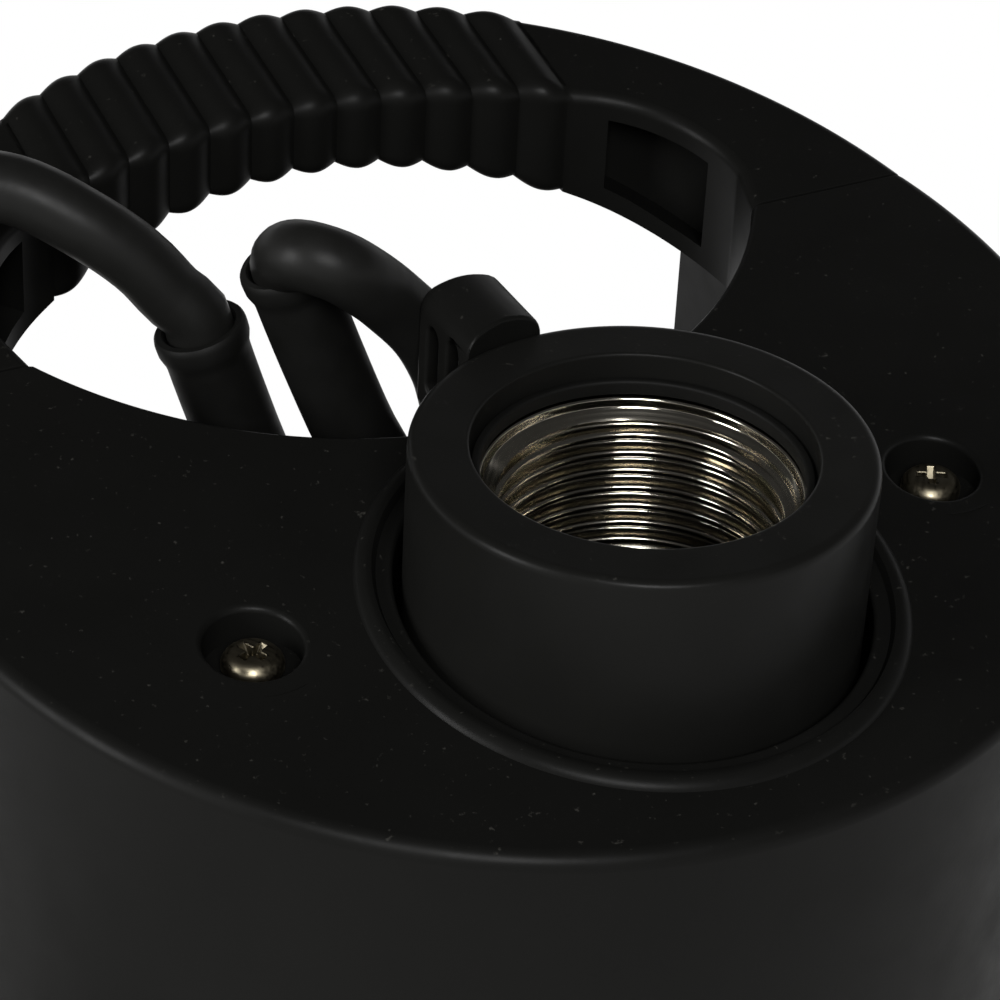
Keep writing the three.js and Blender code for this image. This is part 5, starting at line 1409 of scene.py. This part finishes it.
def pin_piece(name, side):
    """A plain round contact pin, seated in the plug's face."""
    start = PIN_SOCKET_FLOOR + GAP
    tip = PLUG_FACE + PIN_LENGTH
    profile = [(0, start), (PIN_RADIUS, start, 0.2), (PIN_RADIUS, tip, 1.6), (0, tip)]
    pin = turned(name, rounded(profile, 0.2, 8), 48)
    return on_plug(move(pin, (side * PIN_SPACING / 2, 0, 0)))


def tie_piece():
    """A rubber strap drawn tight round the coil, rounded where it turns over the turns."""
    half = (COIL_TURNS_PER_LAYER - 1) * COIL_SPACING / 2 + MAIN_CORD_RADIUS + GAP
    x, y = COIL_CENTRE[0] - COIL_MID_RADIUS, COIL_CENTRE[1]
    low = COIL_BOTTOM - MAIN_CORD_RADIUS - GAP
    high = COIL_TOP + GAP
    inside = [(x - half, low), (x + half, low), (x + half, high), (x - half, high)]
    half, low, high = half + TIE_THICKNESS, low - TIE_THICKNESS, high + TIE_THICKNESS
    outside = [(x - half, low), (x + half, low), (x + half, high), (x - half, high)]
    strap = side_prism("coil_tie_strap", rounded(outside, 4.5, 8),
                       y - TIE_WIDTH / 2, y + TIE_WIDTH / 2)
    carve(strap, side_prism("room", rounded(inside, 3.2, 8), y - TIE_WIDTH, y + TIE_WIDTH))
    round_edges(strap, 0.35, segments=2, least_angle=50)
    return strap


# ---------- what a user may change ----------

class PumpSizes(bpy.types.PropertyGroup):
    """Sizes of the details that Blender adds to the frame"""

    rim_radius: FloatProperty(
        name="Rim radius", description="Rounding of the rim round the top, in millimetres",
        default=1.8, min=0.5, max=2.5)
    collar_radius: FloatProperty(
        name="Collar edge", description="Rounding of the collar's upper edge, in millimetres",
        default=1.2, min=0.3, max=2.0)
    rib_height: FloatProperty(
        name="Rib height", description="Height of the finger ribs on the grip, in millimetres",
        default=RIB_HEIGHT, min=0.2, max=RIB_HEIGHT)
    boot_lip: FloatProperty(
        name="Boot lip", description="Height of the lip at each boot's mouth, in millimetres",
        default=BOOT_LIP, min=0.0, max=BOOT_LIP)
    cord_sides: IntProperty(
        name="Cord sides", description="Faces round each cord", default=20, min=8, max=32)


class PumpColours(bpy.types.PropertyGroup):
    """Colours of the main finishes, linear"""

    housing: FloatVectorProperty(
        name="Housing", description="Colour of the moulded housing", subtype="COLOR", size=4,
        default=linear("#0f0f0e"), min=0.0, max=1.0)
    floater: FloatVectorProperty(
        name="Float", description="Colour of the float switch", subtype="COLOR", size=4,
        default=linear("#cf551d"), min=0.0, max=1.0)
    metal: FloatVectorProperty(
        name="Outlet metal", description="Colour of the plated outlet sleeve", subtype="COLOR",
        size=4, default=linear("#d8d2c4"), min=0.0, max=1.0)


# ---------- one operator for each piece or group of like pieces ----------

class BuildTopCover(bpy.types.Operator):
    """Top plate with its rim, screw wells and the bead round the outlet"""

    bl_idname = "pump.build_top_cover"
    bl_label = "Top cover"

    def execute(self, context):
        cover, bead = top_cover_piece(context.scene.pump_sizes.rim_radius)
        finish_piece(cover, "black_plastic", ["top_cover"])
        finish_piece(bead, "black_plastic", [])
        return {"FINISHED"}


class BuildHandle(bpy.types.Operator):
    """Handle piece with its ribbed grip and corner recesses"""

    bl_idname = "pump.build_handle"
    bl_label = "Handle"

    def execute(self, context):
        sizes = context.scene.pump_sizes
        body, ribs = handle_piece(sizes.rim_radius, sizes.rib_height)
        finish_piece(body, "black_plastic", ["handle"])
        finish_piece(ribs, "black_plastic", [])
        return {"FINISHED"}


class BuildOutlet(bpy.types.Operator):
    """Outlet collar, its rubber band and the threaded metal sleeve"""

    bl_idname = "pump.build_outlet"
    bl_label = "Outlet"

    def execute(self, context):
        sizes = context.scene.pump_sizes
        finish_piece(collar_piece(sizes.collar_radius), "collar_plastic", ["outlet_collar"])
        finish_piece(threaded_insert_piece(), "nickel", ["threaded_insert"], angle=50)
        finish_piece(seal_band_piece(), "sleeve_rubber", ["outlet_seal"])
        return {"FINISHED"}


class BuildCoverScrews(bpy.types.Operator):
    """Two pan-head screws with cross recesses in the cover's wells"""

    bl_idname = "pump.build_cover_screws"
    bl_label = "Cover screws"

    def execute(self, context):
        for name, side, turn in (("left", -1, 0.4), ("right", 1, 1.1)):
            x, y = side * COVER_SCREW[0], COVER_SCREW[1]
            seat = (x, y, cover_top(0, y) - COUNTERBORE_DEPTH + GAP)
            screw = screw_piece("cover_screw_" + name + "_turned", seat, turn)
            finish_piece(screw, "yellow_zinc", ["cover_screw_" + name])
        return {"FINISHED"}


class BuildCordClip(bpy.types.Operator):
    """Slotted clip behind the collar that holds the float's cord"""

    bl_idname = "pump.build_cord_clip"
    bl_label = "Cord clip"

    def execute(self, context):
        finish_piece(cord_clip_piece(), "black_plastic", ["cord_clip"])
        return {"FINISHED"}


class BuildCordBoots(bpy.types.Operator):
    """Strain relief of each cord: flange, stem and sleeve with a rolled lip"""

    bl_idname = "pump.build_cord_boots"
    bl_label = "Cord boots"

    def execute(self, context):
        lip = context.scene.pump_sizes.boot_lip
        for name, route, radius, cord_radius, base in (
            ("main", MAIN_BOOT_PATH, MAIN_BOOT_RADIUS, MAIN_CORD_RADIUS, MAIN_BOOT_BASE),
            ("float", FLOAT_SLEEVE_PATH, FLOAT_BOOT_RADIUS, FLOAT_CORD_RADIUS, FLOAT_BOOT_BASE),
        ):
            sleeve, foot, stem = boot_piece(name + "_boot_sleeve", route, radius, cord_radius,
                                            base, lip)
            finish_piece(sleeve, "sleeve_rubber", [name + "_cord_boot"])
            finish_piece(foot, "sleeve_rubber", [])
            finish_piece(stem, "sleeve_rubber", [])
        return {"FINISHED"}


class BuildMainsCord(bpy.types.Operator):
    """Ten metres of mains cord, over the rim and wound into a tied coil with its plug on top"""

    bl_idname = "pump.build_mains_cord"
    bl_label = "Mains cord"

    def execute(self, context):
        plug = finish_piece(plug_piece(), "sleeve_rubber", ["mains_plug"])
        for number, side in (("1", -1), ("2", 1)):
            pin = pin_piece("plug_pin_turned_" + number, side)
            finish_piece(pin, "plug_nickel", ["plug_pin_" + number])
        tie = finish_piece(tie_piece(), "sleeve_rubber", ["coil_tie"])
        path = main_cord_path()
        sides = context.scene.pump_sizes.cord_sides
        cord = sweep("mains_cord", path, None, sides, MAIN_CORD_RADIUS)
        finish_piece(cord, "cord_rubber", ["main_cord_lead", "main_cord_coil", "main_cord_tail"])
        return {"FINISHED"}


class BuildFloatSwitch(bpy.types.Operator):
    """Float switch on its cord, which runs through the clip and hangs behind the pump"""

    bl_idname = "pump.build_float_switch"
    bl_label = "Float switch"

    def execute(self, context):
        for name, side in (("inner", -1), ("outer", 1)):
            shell = float_half("float_half_" + name, side)
            finish_piece(shell, "orange_plastic", ["float_shell_" + name],
                                       body="float_switch")
        path = float_cord_path()
        sides = context.scene.pump_sizes.cord_sides + FOLD_SIDES
        cord = sweep("float_cord", path, None, sides, FLOAT_CORD_RADIUS)
        finish_piece(cord, "cord_rubber", ["float_cord_upper", "float_cord_drop"], body=None)
        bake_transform(cord)
        return {"FINISHED"}


class BuildHousing(bpy.types.Operator):
    """Casing, strainer base, base plate and rubber feet"""

    bl_idname = "pump.build_housing"
    bl_label = "Housing"

    def execute(self, context):
        finish_piece(casing_piece(), "black_plastic", ["casing"])
        finish_piece(suction_base_piece(), "black_plastic", ["suction_base"])
        finish_piece(base_plate_piece(), "black_plastic", ["base_plate"])
        for number, degrees in zip("1234", FOOT_ANGLES):
            foot = foot_piece("rubber_foot_" + number, degrees)
            finish_piece(foot, "sleeve_rubber", ["foot_" + number])
        return {"FINISHED"}


class FinishInnerParts(bpy.types.Operator):
    """Procedural finishes on the frame's own parts inside the pump"""

    bl_idname = "pump.finish_inner_parts"
    bl_label = "Inner parts"

    def execute(self, context):
        for finish, nodes in INNER_FINISHES.items():
            for node in nodes:
                obj = bpy.data.objects.get(node)
                if obj is None:
                    raise RuntimeError("the frame has no part " + node)
                for slot in obj.material_slots:
                    slot.material = finish_material(finish)
        return {"FINISHED"}


class BuildStage(bpy.types.Operator):
    """Pale floor, white surroundings, soft lamps and the camera"""

    bl_idname = "pump.build_stage"
    bl_label = "Stage"

    def execute(self, context):
        context.scene.view_settings.view_transform = "Standard"
        add_floor()
        add_camera()
        studio_world()
        for name, place, size, power in LAMPS:
            soft_light(name, place, size, power)
        return {"FINISHED"}


STEPS = (
    BuildTopCover, BuildHandle, BuildOutlet, BuildCoverScrews, BuildCordClip, BuildCordBoots,
    BuildMainsCord, BuildFloatSwitch, BuildHousing, FinishInnerParts, BuildStage,
)


class PumpPanel(bpy.types.Panel):
    """The pump's sizes and the steps that build it"""

    bl_idname = "VIEW3D_PT_pump"
    bl_label = "Submersible sump pump"
    bl_space_type = "VIEW_3D"
    bl_region_type = "UI"
    bl_category = "Pump"

    def draw(self, context):
        layout = self.layout
        for group in (context.scene.pump_sizes, context.scene.pump_colours):
            for key in group.__annotations__:
                layout.prop(group, key)
        for step in STEPS:
            layout.operator(step.bl_idname)


CLASSES = (PumpSizes, PumpColours, *STEPS, PumpPanel)


def register():
    for each in CLASSES:
        bpy.utils.register_class(each)
    bpy.types.Scene.pump_sizes = PointerProperty(type=PumpSizes)
    bpy.types.Scene.pump_colours = PointerProperty(type=PumpColours)


def unregister():
    del bpy.types.Scene.pump_sizes
    del bpy.types.Scene.pump_colours
    for each in reversed(CLASSES):
        bpy.utils.unregister_class(each)


def main():
    register()
    for step in STEPS:
        group, name = step.bl_idname.split(".")
        getattr(getattr(bpy.ops, group), name)()


if __name__ == "__main__":
    main()
